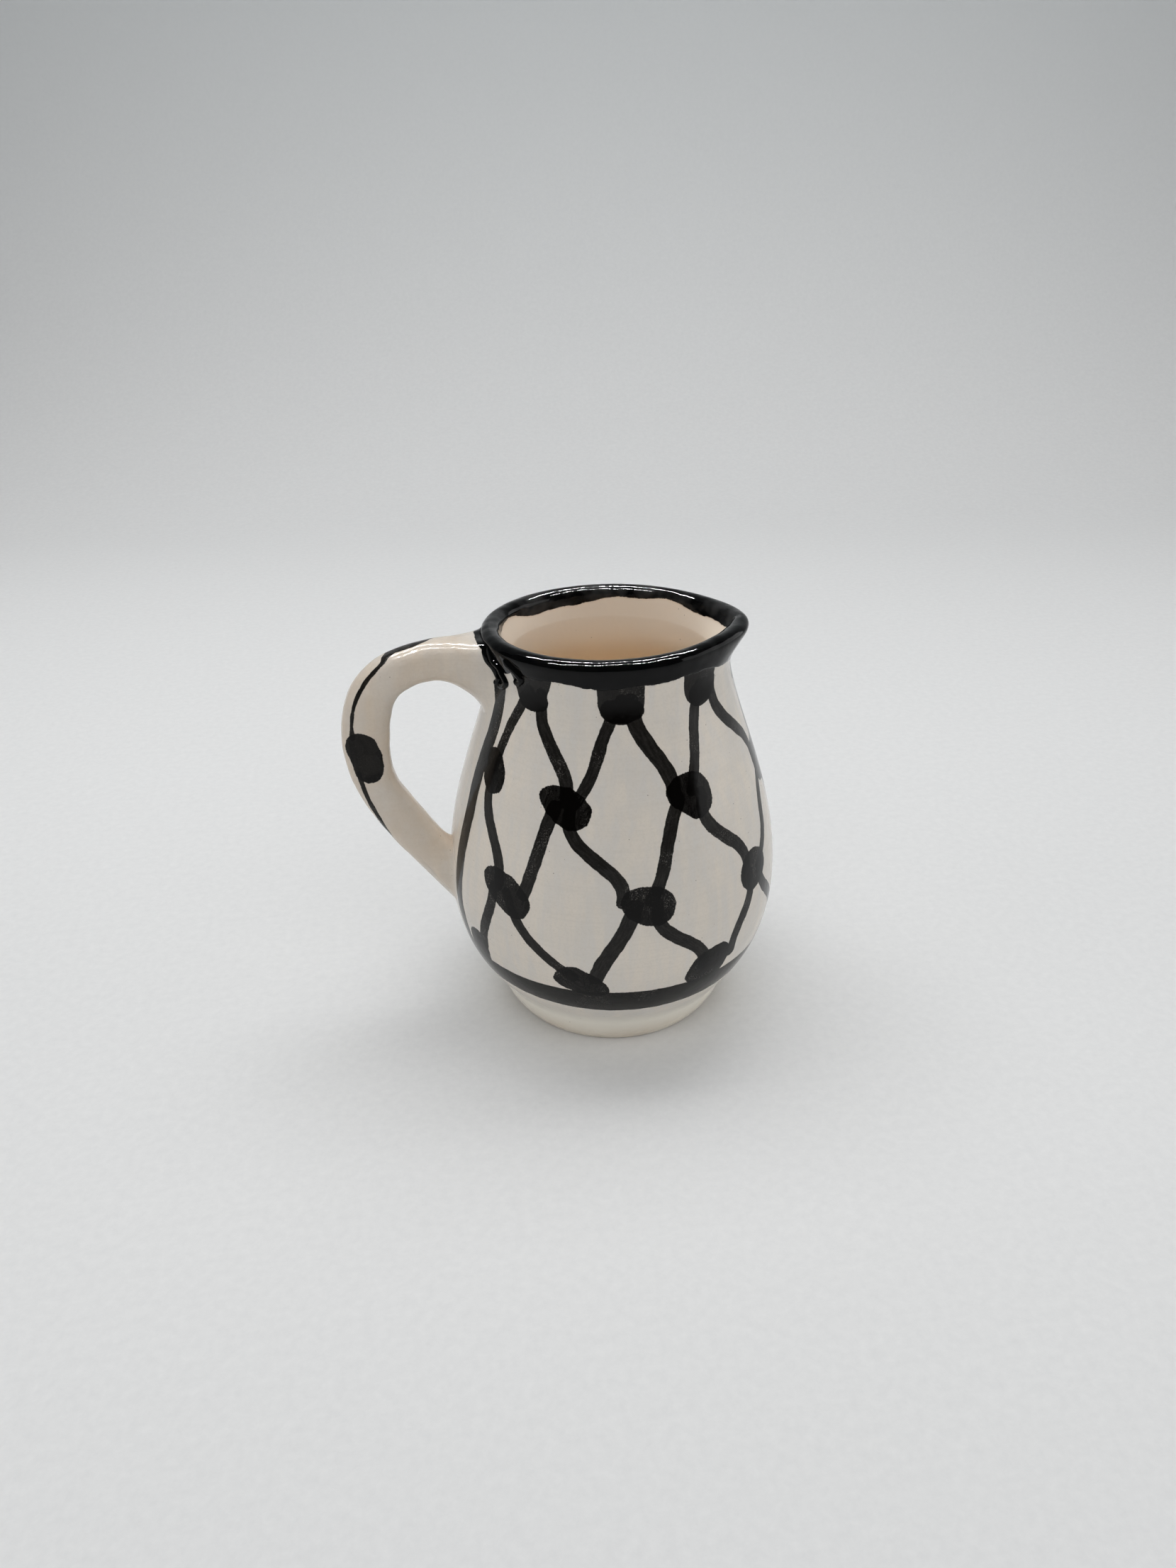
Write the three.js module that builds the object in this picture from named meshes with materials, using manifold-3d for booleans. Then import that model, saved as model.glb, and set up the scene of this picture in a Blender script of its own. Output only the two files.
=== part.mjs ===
// A small hand-thrown milk jug: a flared foot, a round belly drawn in to a neck, a thick rolled
// rim with a pulled pouring lip, and a looped handle that is luted on with slip at both ends.
// Millimetres, +Z up. The origin is the middle of the base, the handle lies along -X.

import * as THREE from 'three';
import { mergeVertices } from 'three/addons/utils/BufferGeometryUtils.js';
import Module from 'manifold-3d';

// Driving dimensions: the thrown pot
const JUG_HEIGHT = 101;
const FOOT_HEIGHT = 7.5;
const FOOT_BASE_RADIUS = 26.3;
const FOOT_TOP_RADIUS = 29.9;
const FOOT_EDGE = 0.6;
const BELLY_RADIUS = 40.65;
const BELLY_HEIGHT = 37.5;
const NECK_RADIUS = 27.9;
const WALL = 4.4;
const FLOOR_THICKNESS = 4.5;

// Driving dimensions: the rim and its pouring lip
const RIM_HEIGHT = 9;
const RIM_BACK_RADIUS = 30;
const RIM_SIDE_RADIUS = 28.2;
const RIM_THICKNESS = 4.7;
const LIP_ROUNDING = 1.9;
const SPOUT_REACH = 4.1;
const SPOUT_LIFT = 0.7;
const SPOUT_AZIMUTH = -7;
const SPOUT_HALF_ANGLE = 28;
const GROOVE_HALF_ANGLE = 22;
const LIFT_HALF_ANGLE = 60;

// Driving dimensions: the handle, measured along its centre line
const HANDLE_ROOT_THICKNESS = 9.7;
const HANDLE_BEND_THICKNESS = 11.5;
const HANDLE_TAIL_THICKNESS = 9.6;
const HANDLE_WIDTH = 8.5;
const HANDLE_ROOT_DIP = 1;
const HANDLE_HOLLOW = 1.2;
const HANDLE_DROP = 6;
const HANDLE_BEND_DROP = 20;
const HANDLE_STANDOFF = 17.3;
const HANDLE_TAIL_HEIGHT = 38.8;
const HANDLE_TAIL_SLOPE = 54;
const UPPER_SLIP_LENGTH = 14;
const LOWER_SLIP_LENGTH = 10;
const UPPER_SLIP_FILLET = 10.5;
const LOWER_SLIP_FILLET = 1.5;
const UPPER_SLIP_FLANK = 4.5;
const LOWER_SLIP_FLANK = 3;

// The thin line of slip left between two joined pieces
const JOINT_GAP = 0.3;

// Facets: enough to show the form, few enough to stay light
const TURN_STEPS = 64;
const PROFILE_STEPS = 8;
const LIP_STEPS = 6;
const FLOOR_TURN_STEPS = 3;
const HANDLE_STEPS = 30;
const SLIP_STEPS = 6;
const SECTION_SIDES = 20;
const MERGE_DISTANCE = 1e-4;

// The exponent of the handle's section: 2 is an ellipse, more is squarer
const SECTION_SQUARENESS = 2.8;

// Where each curve's control points lie, as shares of the span that the curve crosses
const FOOT_WAIST = { out: 0.6, up: 0.5 };
const BELLY_FROM_CREASE = { out: 0.03, up: 0.12 };
const BELLY_BELOW_WIDEST = 0.66;
const BELLY_ABOVE_WIDEST = 0.39;
const BELLY_TO_NECK = { out: 0.035, down: 0.25 };
const FLARE_FROM_SEAT = 0.35;
const FLARE_TO_EDGE = { in: 0.25, down: 0.3 };
const HANDLE_OUT_OF_ROOT = 0.78;
const HANDLE_INTO_BEND = 0.74;
const HANDLE_OUT_OF_BEND = 0.34;
const HANDLE_INTO_TAIL = 0.4;
const HANDLE_HOLLOWS = { beforeBend: 0.24, afterBend: 0.64, span: 0.11 };

// Places that follow from the driving dimensions
const NECK_HEIGHT = JUG_HEIGHT - RIM_HEIGHT;
const FLOOR_HEIGHT = FOOT_HEIGHT + FLOOR_THICKNESS;
const HANDLE_TOP_HEIGHT = JUG_HEIGHT - HANDLE_DROP;
const HANDLE_BEND_HEIGHT = HANDLE_TOP_HEIGHT - HANDLE_BEND_DROP;
const HANDLE_REACH = BELLY_RADIUS + HANDLE_STANDOFF;

const wasm = await Module();
wasm.setup();

const radians = THREE.MathUtils.degToRad;
const point = (x, y) => new THREE.Vector2(x, y);

// Solids

// A closed mesh with its shared vertices merged and the flat triangles at its poles taken out
function closedGeometry(geometry) {
  const bare = geometry.clone();
  bare.deleteAttribute('normal');
  bare.deleteAttribute('uv');
  const merged = mergeVertices(bare, MERGE_DISTANCE);
  const corners = merged.index.array;
  const kept = [];
  for (let i = 0; i < corners.length; i += 3) {
    const [a, b, c] = corners.slice(i, i + 3);
    if (a !== b && b !== c && c !== a) kept.push(a, b, c);
  }
  merged.setIndex(kept);
  return merged;
}

function toSolid(geometry) {
  return new wasm.Manifold(new wasm.Mesh({
    numProp: 3,
    vertProperties: new Float32Array(geometry.attributes.position.array),
    triVerts: new Uint32Array(geometry.index.array),
  }));
}

function fromSolid(solid) {
  const mesh = solid.getMesh();
  const geometry = new THREE.BufferGeometry();
  geometry.setAttribute('position', new THREE.BufferAttribute(mesh.vertProperties, 3));
  geometry.setIndex(new THREE.BufferAttribute(mesh.triVerts, 1));
  return geometry;
}

// A profile of (radius, height) points turned about the Z axis
function turned(profile) {
  const geometry = new THREE.LatheGeometry(profile, TURN_STEPS);
  geometry.rotateX(Math.PI / 2);
  return closedGeometry(geometry);
}

// A skin through rings of equally many points. The rings either close on the first one or end in caps
function lofted(rings, closesOnItself) {
  const sides = rings[0].length;
  const positions = rings.flat().flatMap((corner) => corner.toArray());
  const triangles = [];
  const spans = closesOnItself ? rings.length : rings.length - 1;
  for (let i = 0; i < spans; i += 1) {
    const here = i * sides;
    const next = ((i + 1) % rings.length) * sides;
    for (let j = 0; j < sides; j += 1) {
      const k = (j + 1) % sides;
      triangles.push(here + j, here + k, next + k, here + j, next + k, next + j);
    }
  }
  if (!closesOnItself) {
    const last = (rings.length - 1) * sides;
    for (let j = 1; j < sides - 1; j += 1) {
      triangles.push(0, j + 1, j, last, last + j, last + j + 1);
    }
  }
  const geometry = new THREE.BufferGeometry();
  geometry.setAttribute('position', new THREE.Float32BufferAttribute(positions, 3));
  geometry.setIndex(triangles);
  return closedGeometry(geometry);
}

// The thrown pot

// The outside of the belly from the foot's crease up to the neck, as two arcs that meet upright
function bellyOutline() {
  const rise = BELLY_HEIGHT - FOOT_HEIGHT;
  const climb = NECK_HEIGHT - BELLY_HEIGHT;
  const crease = point(FOOT_TOP_RADIUS, FOOT_HEIGHT);
  const widest = point(BELLY_RADIUS, BELLY_HEIGHT);
  const neck = point(NECK_RADIUS, NECK_HEIGHT);
  const lower = new THREE.CubicBezierCurve(
    crease,
    point(crease.x + BELLY_FROM_CREASE.out * rise, crease.y + BELLY_FROM_CREASE.up * rise),
    point(widest.x, widest.y - BELLY_BELOW_WIDEST * rise),
    widest,
  );
  const upper = new THREE.CubicBezierCurve(
    widest,
    point(widest.x, widest.y + BELLY_ABOVE_WIDEST * climb),
    point(neck.x + BELLY_TO_NECK.out * climb, neck.y - BELLY_TO_NECK.down * climb),
    neck,
  );
  return [...lower.getPoints(PROFILE_STEPS), ...upper.getPoints(PROFILE_STEPS).slice(1)];
}

// The outside radius of the pot at a height below the neck
function bellyRadiusAt(height) {
  const outline = bellyOutline();
  const above = Math.max(1, outline.findIndex((corner) => corner.y >= height));
  const [low, high] = [outline[above - 1], outline[above]];
  return THREE.MathUtils.mapLinear(height, low.y, high.y, low.x, high.x);
}

function footGeometry() {
  const waistRadius = THREE.MathUtils.lerp(FOOT_BASE_RADIUS, FOOT_TOP_RADIUS, FOOT_WAIST.out);
  return turned([
    point(0, 0),
    point(FOOT_BASE_RADIUS - FOOT_EDGE, 0),
    point(FOOT_BASE_RADIUS, FOOT_EDGE),
    point(waistRadius, FOOT_WAIST.up * FOOT_HEIGHT),
    point(FOOT_TOP_RADIUS, FOOT_HEIGHT),
    point(0, FOOT_HEIGHT),
  ]);
}

// The body is the belly's outside, a flat seat for the rim, and the inside at one wall's depth,
// which turns into the flat floor in a quarter round as high as the wall is thick
function bodyGeometry() {
  const outside = bellyOutline();
  const turnHeight = FLOOR_HEIGHT + WALL;
  const inside = outside
    .filter((corner) => corner.y > turnHeight)
    .map((corner) => point(corner.x - WALL, corner.y));
  const turnRadius = bellyRadiusAt(turnHeight) - WALL;
  const floorTurn = new THREE.EllipseCurve(
    turnRadius - WALL, turnHeight, WALL, WALL, 0, -Math.PI / 2, true,
  );
  return turned([
    point(0, FOOT_HEIGHT),
    ...outside,
    ...inside.reverse(),
    ...floorTurn.getPoints(FLOOR_TURN_STEPS),
    point(0, FLOOR_HEIGHT),
  ]);
}

// The rim

// A smooth swelling round the pot, 1 at its middle azimuth and fading over the half angle
function swelling(azimuth, middle, halfAngle) {
  const away = THREE.MathUtils.euclideanModulo(azimuth - middle + 180, 360) - 180;
  return Math.exp(-((away / halfAngle) ** 2));
}

// The rim's outside radius without its spout: round towards the handle, drawn in at the sides
function mouthRadius(azimuth) {
  const backness = ((1 - Math.cos(radians(azimuth - SPOUT_AZIMUTH))) / 2) ** 3;
  return THREE.MathUtils.lerp(RIM_SIDE_RADIUS, RIM_BACK_RADIUS, backness);
}

function lipOuterRadius(azimuth) {
  return mouthRadius(azimuth) + SPOUT_REACH * swelling(azimuth, SPOUT_AZIMUTH, SPOUT_HALF_ANGLE);
}

// The groove that the milk runs along is narrower than the spout's outside
function lipInnerRadius(azimuth) {
  const groove = SPOUT_REACH * swelling(azimuth, SPOUT_AZIMUTH, GROOVE_HALF_ANGLE);
  return mouthRadius(azimuth) - RIM_THICKNESS + groove;
}

function crestHeight(azimuth) {
  return JUG_HEIGHT + SPOUT_LIFT * swelling(azimuth, SPOUT_AZIMUTH, LIFT_HALF_ANGLE);
}

// The rim's outside at one azimuth, from its seat on the neck up to where the lip rolls over
function rimOuterSide(azimuth) {
  const seat = point(NECK_RADIUS, NECK_HEIGHT);
  const edge = point(lipOuterRadius(azimuth), crestHeight(azimuth) - LIP_ROUNDING);
  const rise = edge.y - seat.y;
  const flare = new THREE.CubicBezierCurve(
    seat,
    point(seat.x, seat.y + FLARE_FROM_SEAT * rise),
    point(THREE.MathUtils.lerp(edge.x, seat.x, FLARE_TO_EDGE.in), edge.y - FLARE_TO_EDGE.down * rise),
    edge,
  );
  return flare.getPoints(LIP_STEPS);
}

// The inside at one azimuth, from the roll down to the neck's bore
function rimInnerSide(azimuth) {
  const seat = point(NECK_RADIUS - WALL, NECK_HEIGHT);
  const edge = point(lipInnerRadius(azimuth), crestHeight(azimuth) - LIP_ROUNDING);
  const fall = edge.y - seat.y;
  const bore = new THREE.CubicBezierCurve(
    edge,
    point(THREE.MathUtils.lerp(edge.x, seat.x, FLARE_TO_EDGE.in), edge.y - FLARE_TO_EDGE.down * fall),
    point(seat.x, seat.y + FLARE_FROM_SEAT * fall),
    seat,
  );
  return bore.getPoints(LIP_STEPS);
}

// The half round of the lip, between its outer and its inner side
function lipRoll(outer, inner) {
  const middle = (outer.x + inner.x) / 2;
  const halfWidth = (outer.x - inner.x) / 2;
  const roll = new THREE.EllipseCurve(middle, outer.y, halfWidth, LIP_ROUNDING, 0, Math.PI);
  return roll.getPoints(LIP_STEPS).slice(1, -1);
}

function rimGeometry() {
  const rings = [];
  for (let i = 0; i < TURN_STEPS; i += 1) {
    const azimuth = (360 * i) / TURN_STEPS;
    const outer = rimOuterSide(azimuth);
    const inner = rimInnerSide(azimuth);
    const section = [...outer, ...lipRoll(outer.at(-1), inner[0]), ...inner].reverse();
    rings.push(section.map((corner) => onAzimuth(corner, azimuth)));
  }
  return lofted(rings, true);
}

function onAzimuth(corner, azimuth) {
  const angle = radians(azimuth);
  return new THREE.Vector3(corner.x * Math.cos(angle), corner.x * Math.sin(angle), corner.y);
}

// The filled outside of the body and the rim, one joint gap larger, which trims what is luted on
function trimmingSolid() {
  const columns = [];
  for (let i = 0; i < TURN_STEPS; i += 1) {
    const azimuth = (360 * i) / TURN_STEPS;
    const side = [...bellyOutline(), ...rimOuterSide(azimuth).slice(1)];
    const grown = side.map((corner) => point(corner.x + JOINT_GAP, corner.y));
    grown.push(point(grown.at(-1).x, JUG_HEIGHT + SPOUT_LIFT + WALL));
    columns.push(grown.map((corner) => onAzimuth(corner, azimuth)));
  }
  const rings = columns[0].map((_, level) => columns.map((column) => column[level]));
  return toSolid(lofted(rings, false));
}

// The handle

// The centre line in the XZ plane, from the neck's wall round to the belly's wall
function handleCentreLine() {
  const slope = radians(HANDLE_TAIL_SLOPE);
  const inPlane = (radius, height) => new THREE.Vector3(-radius, 0, height);
  const tailRadius = bellyRadiusAt(HANDLE_TAIL_HEIGHT);
  const drop = HANDLE_BEND_HEIGHT - HANDLE_TAIL_HEIGHT;
  const outOfRoot = HANDLE_OUT_OF_ROOT * (HANDLE_REACH - NECK_RADIUS);
  const intoBend = HANDLE_INTO_BEND * HANDLE_BEND_DROP;
  const intoTail = HANDLE_INTO_TAIL * drop;
  const bend = inPlane(HANDLE_REACH, HANDLE_BEND_HEIGHT);
  const line = new THREE.CurvePath();
  line.add(new THREE.CubicBezierCurve3(
    inPlane(NECK_RADIUS, HANDLE_TOP_HEIGHT),
    inPlane(NECK_RADIUS + outOfRoot, HANDLE_TOP_HEIGHT),
    inPlane(HANDLE_REACH, HANDLE_BEND_HEIGHT + intoBend),
    bend,
  ));
  line.add(new THREE.CubicBezierCurve3(
    bend,
    inPlane(HANDLE_REACH, HANDLE_BEND_HEIGHT - HANDLE_OUT_OF_BEND * drop),
    inPlane(tailRadius + intoTail * Math.cos(slope), HANDLE_TAIL_HEIGHT + intoTail * Math.sin(slope)),
    inPlane(tailRadius, HANDLE_TAIL_HEIGHT),
  ));
  return line;
}

// The strap is thickest at its bend and thins smoothly towards its root and its tail
function handleThicknessAt(line, along) {
  const [rootToBend, whole] = line.getCurveLengths();
  const bend = rootToBend / whole;
  const end = along < bend ? HANDLE_ROOT_THICKNESS : HANDLE_TAIL_THICKNESS;
  const nearness = along < bend ? along / bend : (1 - along) / (1 - bend);
  return THREE.MathUtils.lerp(end, HANDLE_BEND_THICKNESS, THREE.MathUtils.smoothstep(nearness, 0, 1));
}

// One rounded ring square to the centre line, with extra clay on its inner side and its flanks. Its
// top sinks towards the root, and its inner side is hollowed on either side of the bend
function handleRing(line, distance, extraInner, extraFlank) {
  const length = line.getLength();
  const along = THREE.MathUtils.clamp(distance / length, 0, 1);
  const ahead = line.getTangentAt(along);
  const centre = line.getPointAt(along).addScaledVector(ahead, distance - along * length);
  const outward = new THREE.Vector3(ahead.z, 0, -ahead.x);
  const halfThickness = handleThicknessAt(line, along) / 2;
  const sunk = HANDLE_ROOT_DIP * (1 - THREE.MathUtils.smoothstep(distance, 0, UPPER_SLIP_LENGTH));
  const hollowAt = (share) => Math.exp(-(((along - share) / HANDLE_HOLLOWS.span) ** 2));
  const scooped = HANDLE_HOLLOW * (hollowAt(HANDLE_HOLLOWS.beforeBend) + hollowAt(HANDLE_HOLLOWS.afterBend));
  const outerReach = halfThickness - sunk;
  const innerReach = halfThickness - scooped + extraInner;
  const rounded = (value) => Math.sign(value) * Math.abs(value) ** (2 / SECTION_SQUARENESS);
  const ring = [];
  for (let i = 0; i < SECTION_SIDES; i += 1) {
    const angle = (2 * Math.PI * i) / SECTION_SIDES;
    const across = rounded(Math.cos(angle));
    const depth = across * (across < 0 ? innerReach : outerReach);
    const flank = rounded(Math.sin(angle)) * (HANDLE_WIDTH / 2 + extraFlank);
    ring.push(centre.clone().addScaledVector(outward, depth).add(new THREE.Vector3(0, flank, 0)));
  }
  return ring;
}

function handleGeometry(line, start, end) {
  const rings = [];
  for (let i = 0; i <= HANDLE_STEPS; i += 1) {
    const distance = THREE.MathUtils.lerp(start, end, i / HANDLE_STEPS);
    rings.push(handleRing(line, distance, 0, 0));
  }
  return lofted(rings, false);
}

// A wad of slip from the handle's cut end to the wall, swelling in a fillet on the way, which
// runs on into the wall and is trimmed to the pot
function slipGeometry(line, from, wall, beyond, fillet, flank, pot) {
  const rings = [];
  for (let i = 0; i <= SLIP_STEPS; i += 1) {
    const turn = (Math.PI / 2) * (i / SLIP_STEPS);
    const swell = 1 - Math.cos(turn);
    const distance = THREE.MathUtils.lerp(from, wall, Math.sin(turn));
    rings.push(handleRing(line, distance, swell * fillet, swell * flank));
  }
  rings.push(handleRing(line, beyond, fillet, flank));
  const ordered = from < wall ? rings : rings.reverse();
  return fromSolid(toSolid(lofted(ordered, false)).subtract(pot));
}

// Materials

const creamGlaze = () => new THREE.MeshStandardMaterial({ color: 0xd9d3c6, roughness: 0.25, metalness: 0 });
const blackGlaze = () => new THREE.MeshStandardMaterial({ color: 0x14110f, roughness: 0.15, metalness: 0 });

// The assembly

const jug = new THREE.Group();

function addPiece(name, geometry, material) {
  const piece = new THREE.Mesh(geometry, material);
  piece.name = name;
  jug.add(piece);
}

addPiece('foot', footGeometry(), creamGlaze());
addPiece('body', bodyGeometry(), creamGlaze());
addPiece('rim', rimGeometry(), blackGlaze());

const centreLine = handleCentreLine();
const lineLength = centreLine.getLength();
const handleStart = UPPER_SLIP_LENGTH;
const handleEnd = lineLength - LOWER_SLIP_LENGTH;
const pot = trimmingSolid();
const filletFoot = HANDLE_TOP_HEIGHT - HANDLE_ROOT_THICKNESS / 2 - UPPER_SLIP_FILLET;
const filletReach = bellyRadiusAt(filletFoot) - NECK_RADIUS;
addPiece('handle', handleGeometry(centreLine, handleStart, handleEnd), creamGlaze());
addPiece(
  'upper_handle_slip',
  slipGeometry(
    centreLine, handleStart - JOINT_GAP, filletReach, -WALL / 2, UPPER_SLIP_FILLET, UPPER_SLIP_FLANK, pot,
  ),
  creamGlaze(),
);
addPiece(
  'lower_handle_slip',
  slipGeometry(
    centreLine, handleEnd + JOINT_GAP, lineLength, lineLength + WALL, LOWER_SLIP_FILLET, LOWER_SLIP_FLANK,
    pot,
  ),
  creamGlaze(),
);

export default jug;
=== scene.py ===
# A small hand-thrown milk jug with a net brushed on in black, dressed round its CAD frame.
# Shapes and paint are worked out in millimetres in the CAD frame, and made in metres.

import math

import bpy
import numpy as np
from mathutils import Matrix, Vector


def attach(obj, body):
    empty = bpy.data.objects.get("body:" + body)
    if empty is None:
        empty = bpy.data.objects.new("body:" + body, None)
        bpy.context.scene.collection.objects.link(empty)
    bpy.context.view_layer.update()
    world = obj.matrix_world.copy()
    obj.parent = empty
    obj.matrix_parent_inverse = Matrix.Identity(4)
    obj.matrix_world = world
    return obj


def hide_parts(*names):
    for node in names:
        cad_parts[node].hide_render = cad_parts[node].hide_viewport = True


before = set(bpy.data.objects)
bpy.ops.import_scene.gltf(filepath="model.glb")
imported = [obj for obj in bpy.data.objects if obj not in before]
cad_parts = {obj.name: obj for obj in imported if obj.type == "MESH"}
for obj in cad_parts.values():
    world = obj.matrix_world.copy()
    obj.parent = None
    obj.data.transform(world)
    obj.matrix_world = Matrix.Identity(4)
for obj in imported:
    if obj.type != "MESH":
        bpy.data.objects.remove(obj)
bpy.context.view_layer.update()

MM = 0.001
UP = (0.0, 0.0, 1.0)
DOWN = (0.0, 0.0, -1.0)

# The thrown pot, with the CAD solids' sizes. Only the foot's edge is turned more softly here
JUG_HEIGHT = 101.0
FOOT_HEIGHT = 7.5
FOOT_BASE_RADIUS = 26.8
FOOT_TOP_RADIUS = 29.9
FOOT_SIDE_CORNER = (28.8, 3.45)
FOOT_EDGE = 1.4
FOOT_EDGE_TURN = -41.0
BELLY_RADIUS = 40.65
BELLY_HEIGHT = 37.5
NECK_RADIUS = 27.9
WALL = 4.4
FLOOR_THICKNESS = 4.5
FLOOR_HEIGHT = FOOT_HEIGHT + FLOOR_THICKNESS

# The rim and its pouring lip, whose lift, tilt, groove and inner swell are finer than in the CAD
RIM_HEIGHT = 9.0
NECK_HEIGHT = JUG_HEIGHT - RIM_HEIGHT
RIM_BACK_RADIUS = 30.0
RIM_SIDE_RADIUS = 28.2
RIM_BACK_SHARPNESS = 3
RIM_THICKNESS = 4.7
RIM_TILT = 0.35
LIP_ROUNDING = 1.9
SPOUT_AZIMUTH = -7.0
SPOUT_HALF_ANGLE = 28.0
SPOUT_REACH = 4.1
SPOUT_LIFT = 0.5
LIFT_HALF_ANGLE = 95.0
GROOVE_HALF_ANGLE = 24.0
GROOVE_REACH = 4.9
GROOVE_SHARPNESS = 1.15
NECK_SWELL = 1.3
NECK_SWELL_HEIGHT = 86.0
NECK_SWELL_SPAN = 5.0

# How far the pot's curves are pulled at their ends, as shares of each curve's rise or flare
CREASE_PULL = (0.03, 0.12)
BELLY_PULL_BELOW = 0.66
BELLY_PULL_ABOVE = 0.39
NECK_PULL = (0.035, -0.25)
RIM_SEAT_PULL = 0.35
RIM_EDGE_PULL = 0.3
RIM_EDGE_LEAN = 0.25
FLARE_POWER = 1.6

# The pulled handle, a hair thinner at the bend than the CAD solid, with faint finger marks. Each wave
# of these is radians to the millimetre along the handle, waves round it and its start
HANDLE_AZIMUTH = 180.0
HANDLE_ROOT_THICKNESS = 9.7
HANDLE_BEND_THICKNESS = 11.49
HANDLE_TAIL_THICKNESS = 9.6
HANDLE_WIDTH = 8.5
SECTION_SQUARENESS = 2.6
HANDLE_ROOT_DIP = 1.0
HANDLE_HOLLOW = 1.2
HOLLOW_SHARES = (0.24, 0.64)
HOLLOW_SPAN = 0.11
HAND_MARK_DEPTH = 0.15
HAND_MARK_WAVES = [(0.43, 1, 0.0), (0.71, -2, 1.0), (0.93, 3, 2.2)]
HANDLE_DROP = 6.0
HANDLE_TOP_HEIGHT = JUG_HEIGHT - HANDLE_DROP
HANDLE_BEND_DROP = 20.0
HANDLE_BEND_HEIGHT = HANDLE_TOP_HEIGHT - HANDLE_BEND_DROP
HANDLE_STANDOFF = 17.3
HANDLE_REACH = BELLY_RADIUS + HANDLE_STANDOFF
HANDLE_TAIL_HEIGHT = 38.8
HANDLE_TAIL_SLOPE = 54.0
ROOT_PULL = 0.78
BEND_PULL_ABOVE = 0.74
BEND_PULL_BELOW = 0.34
TAIL_PULL = 0.4

# The handle's joints: their lengths along it, and how far their fillets run out on the wall
UPPER_JOINT_LENGTH = 14.0
LOWER_JOINT_LENGTH = 10.0
UPPER_FILLET = 9.4
LOWER_FILLET = 0.7
UPPER_FLANK_FILLET = 4.5
LOWER_FLANK_FILLET = 3.0
SPINE_FILLET = 0.6
FILLET_FULLNESS = 1.4
JOINT_SINK = 0.04

# Mesh density: columns round the pot, sides round the handle, and the steps of each curve
COLUMNS = 480
SIDES = 96
FLAT_STEPS = 14
EDGE_STEPS = 7
SIDE_STEPS = 14
BELLY_STEPS = 80
RIM_STEPS = 22
ROLL_STEPS = 26
INSIDE_STEPS = 24
BOTTOM_STEPS = 9
LINE_STEPS = 400
HANDLE_STEP = 0.6
JOINT_STEPS = 36
JOINT_SAMPLES = 160

# Corners that are eased: rows to either side, and rounds of easing
CREASE_EASING = (3, 6)
NECK_EASING = (6, 14)
LIP_EASING = (6, 8)
INNER_NECK_EASING = (3, 10)

# Short steps that slopes are measured over, in degrees and millimetres, and the least length
AZIMUTH_STEP = 0.5
HEIGHT_STEP = 0.2
LINE_STEP = 0.3
TINY = 1e-9


# Curves and angles

def pairs(first, second):
    return np.stack([first, second], -1)


def length(vectors):
    return np.linalg.norm(vectors, axis=-1)


def unit(vectors):
    return vectors / np.maximum(length(vectors), TINY)[..., None]


def bell(offset):
    return np.exp(-(offset ** 2))


def smooth_share(share):
    share = np.clip(share, 0.0, 1.0)
    return share * share * (3 - 2 * share)


def lengths_along(line):
    """The length along a line of points, at each of them."""
    return np.concatenate([[0.0], np.cumsum(length(np.diff(line, axis=0)))])


def azimuth_of(points):
    return np.degrees(np.arctan2(points[..., 1], points[..., 0]))


def degrees_from(azimuth, middle):
    return (azimuth - middle + 180.0) % 360.0 - 180.0


def swelling(azimuth, middle, half_angle):
    return bell(degrees_from(azimuth, middle) / half_angle)


def round_waves(azimuth, waves):
    """A sum of waves round the pot, each as its size, its count and its start in degrees."""
    return sum(size * np.sin(np.radians(count * azimuth + start)) for size, count, start in waves)


def arc(middle, radius, first, last, steps):
    """Points of an arc between two angles in degrees."""
    angle = np.radians(np.linspace(first, last, steps))
    return pairs(middle[0] + radius * np.cos(angle), middle[1] + radius * np.sin(angle))


def pulled_curve(start, start_pull, end_pull, end, count):
    """A cubic curve between two points, or arrays of them, that is pulled off each of them."""
    start, end = np.array(start), np.array(end)
    t = np.linspace(0.0, 1.0, count)[:, None]
    a, b, c, d = (p[..., None, :] for p in (start, start + start_pull, end + end_pull, end))
    return (1 - t) ** 3 * a + 3 * (1 - t) ** 2 * t * b + 3 * (1 - t) * t ** 2 * c + t ** 3 * d


def smooth_path(points, count):
    """A curve through a few points, with even easing between them."""
    points = np.asarray(points, float)
    padded = np.vstack([2 * points[0] - points[1], points, 2 * points[-1] - points[-2]])
    spans = len(points) - 1
    t = np.linspace(0.0, 1.0, count // spans, endpoint=False)[:, None]
    made = []
    for i in range(spans):
        a, b, c, d = padded[i:i + 4]
        square = (2 * a - 5 * b + 4 * c - d) * t ** 2
        cube = (3 * b - a - 3 * c + d) * t ** 3
        made.append(0.5 * (2 * b + (c - a) * t + square + cube))
    return np.vstack([*made, points[-1:]])


# The pot's wall

def belly_outline():
    """(radius, height) points of the belly's outside from the crease to the neck."""
    rise = BELLY_HEIGHT - FOOT_HEIGHT
    climb = NECK_HEIGHT - BELLY_HEIGHT
    crease = (FOOT_TOP_RADIUS, FOOT_HEIGHT)
    widest = (BELLY_RADIUS, BELLY_HEIGHT)
    neck = (NECK_RADIUS, NECK_HEIGHT)
    crease_pull = np.array(CREASE_PULL) * rise
    neck_pull = np.array(NECK_PULL) * climb
    lower = pulled_curve(crease, crease_pull, (0.0, -BELLY_PULL_BELOW * rise), widest, BELLY_STEPS)
    upper = pulled_curve(widest, (0.0, BELLY_PULL_ABOVE * climb), neck_pull, neck, BELLY_STEPS)
    return np.vstack([lower, upper[1:]])


BELLY = belly_outline()


def belly_radius(height):
    return np.interp(height, BELLY[:, 1], BELLY[:, 0])


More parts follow.
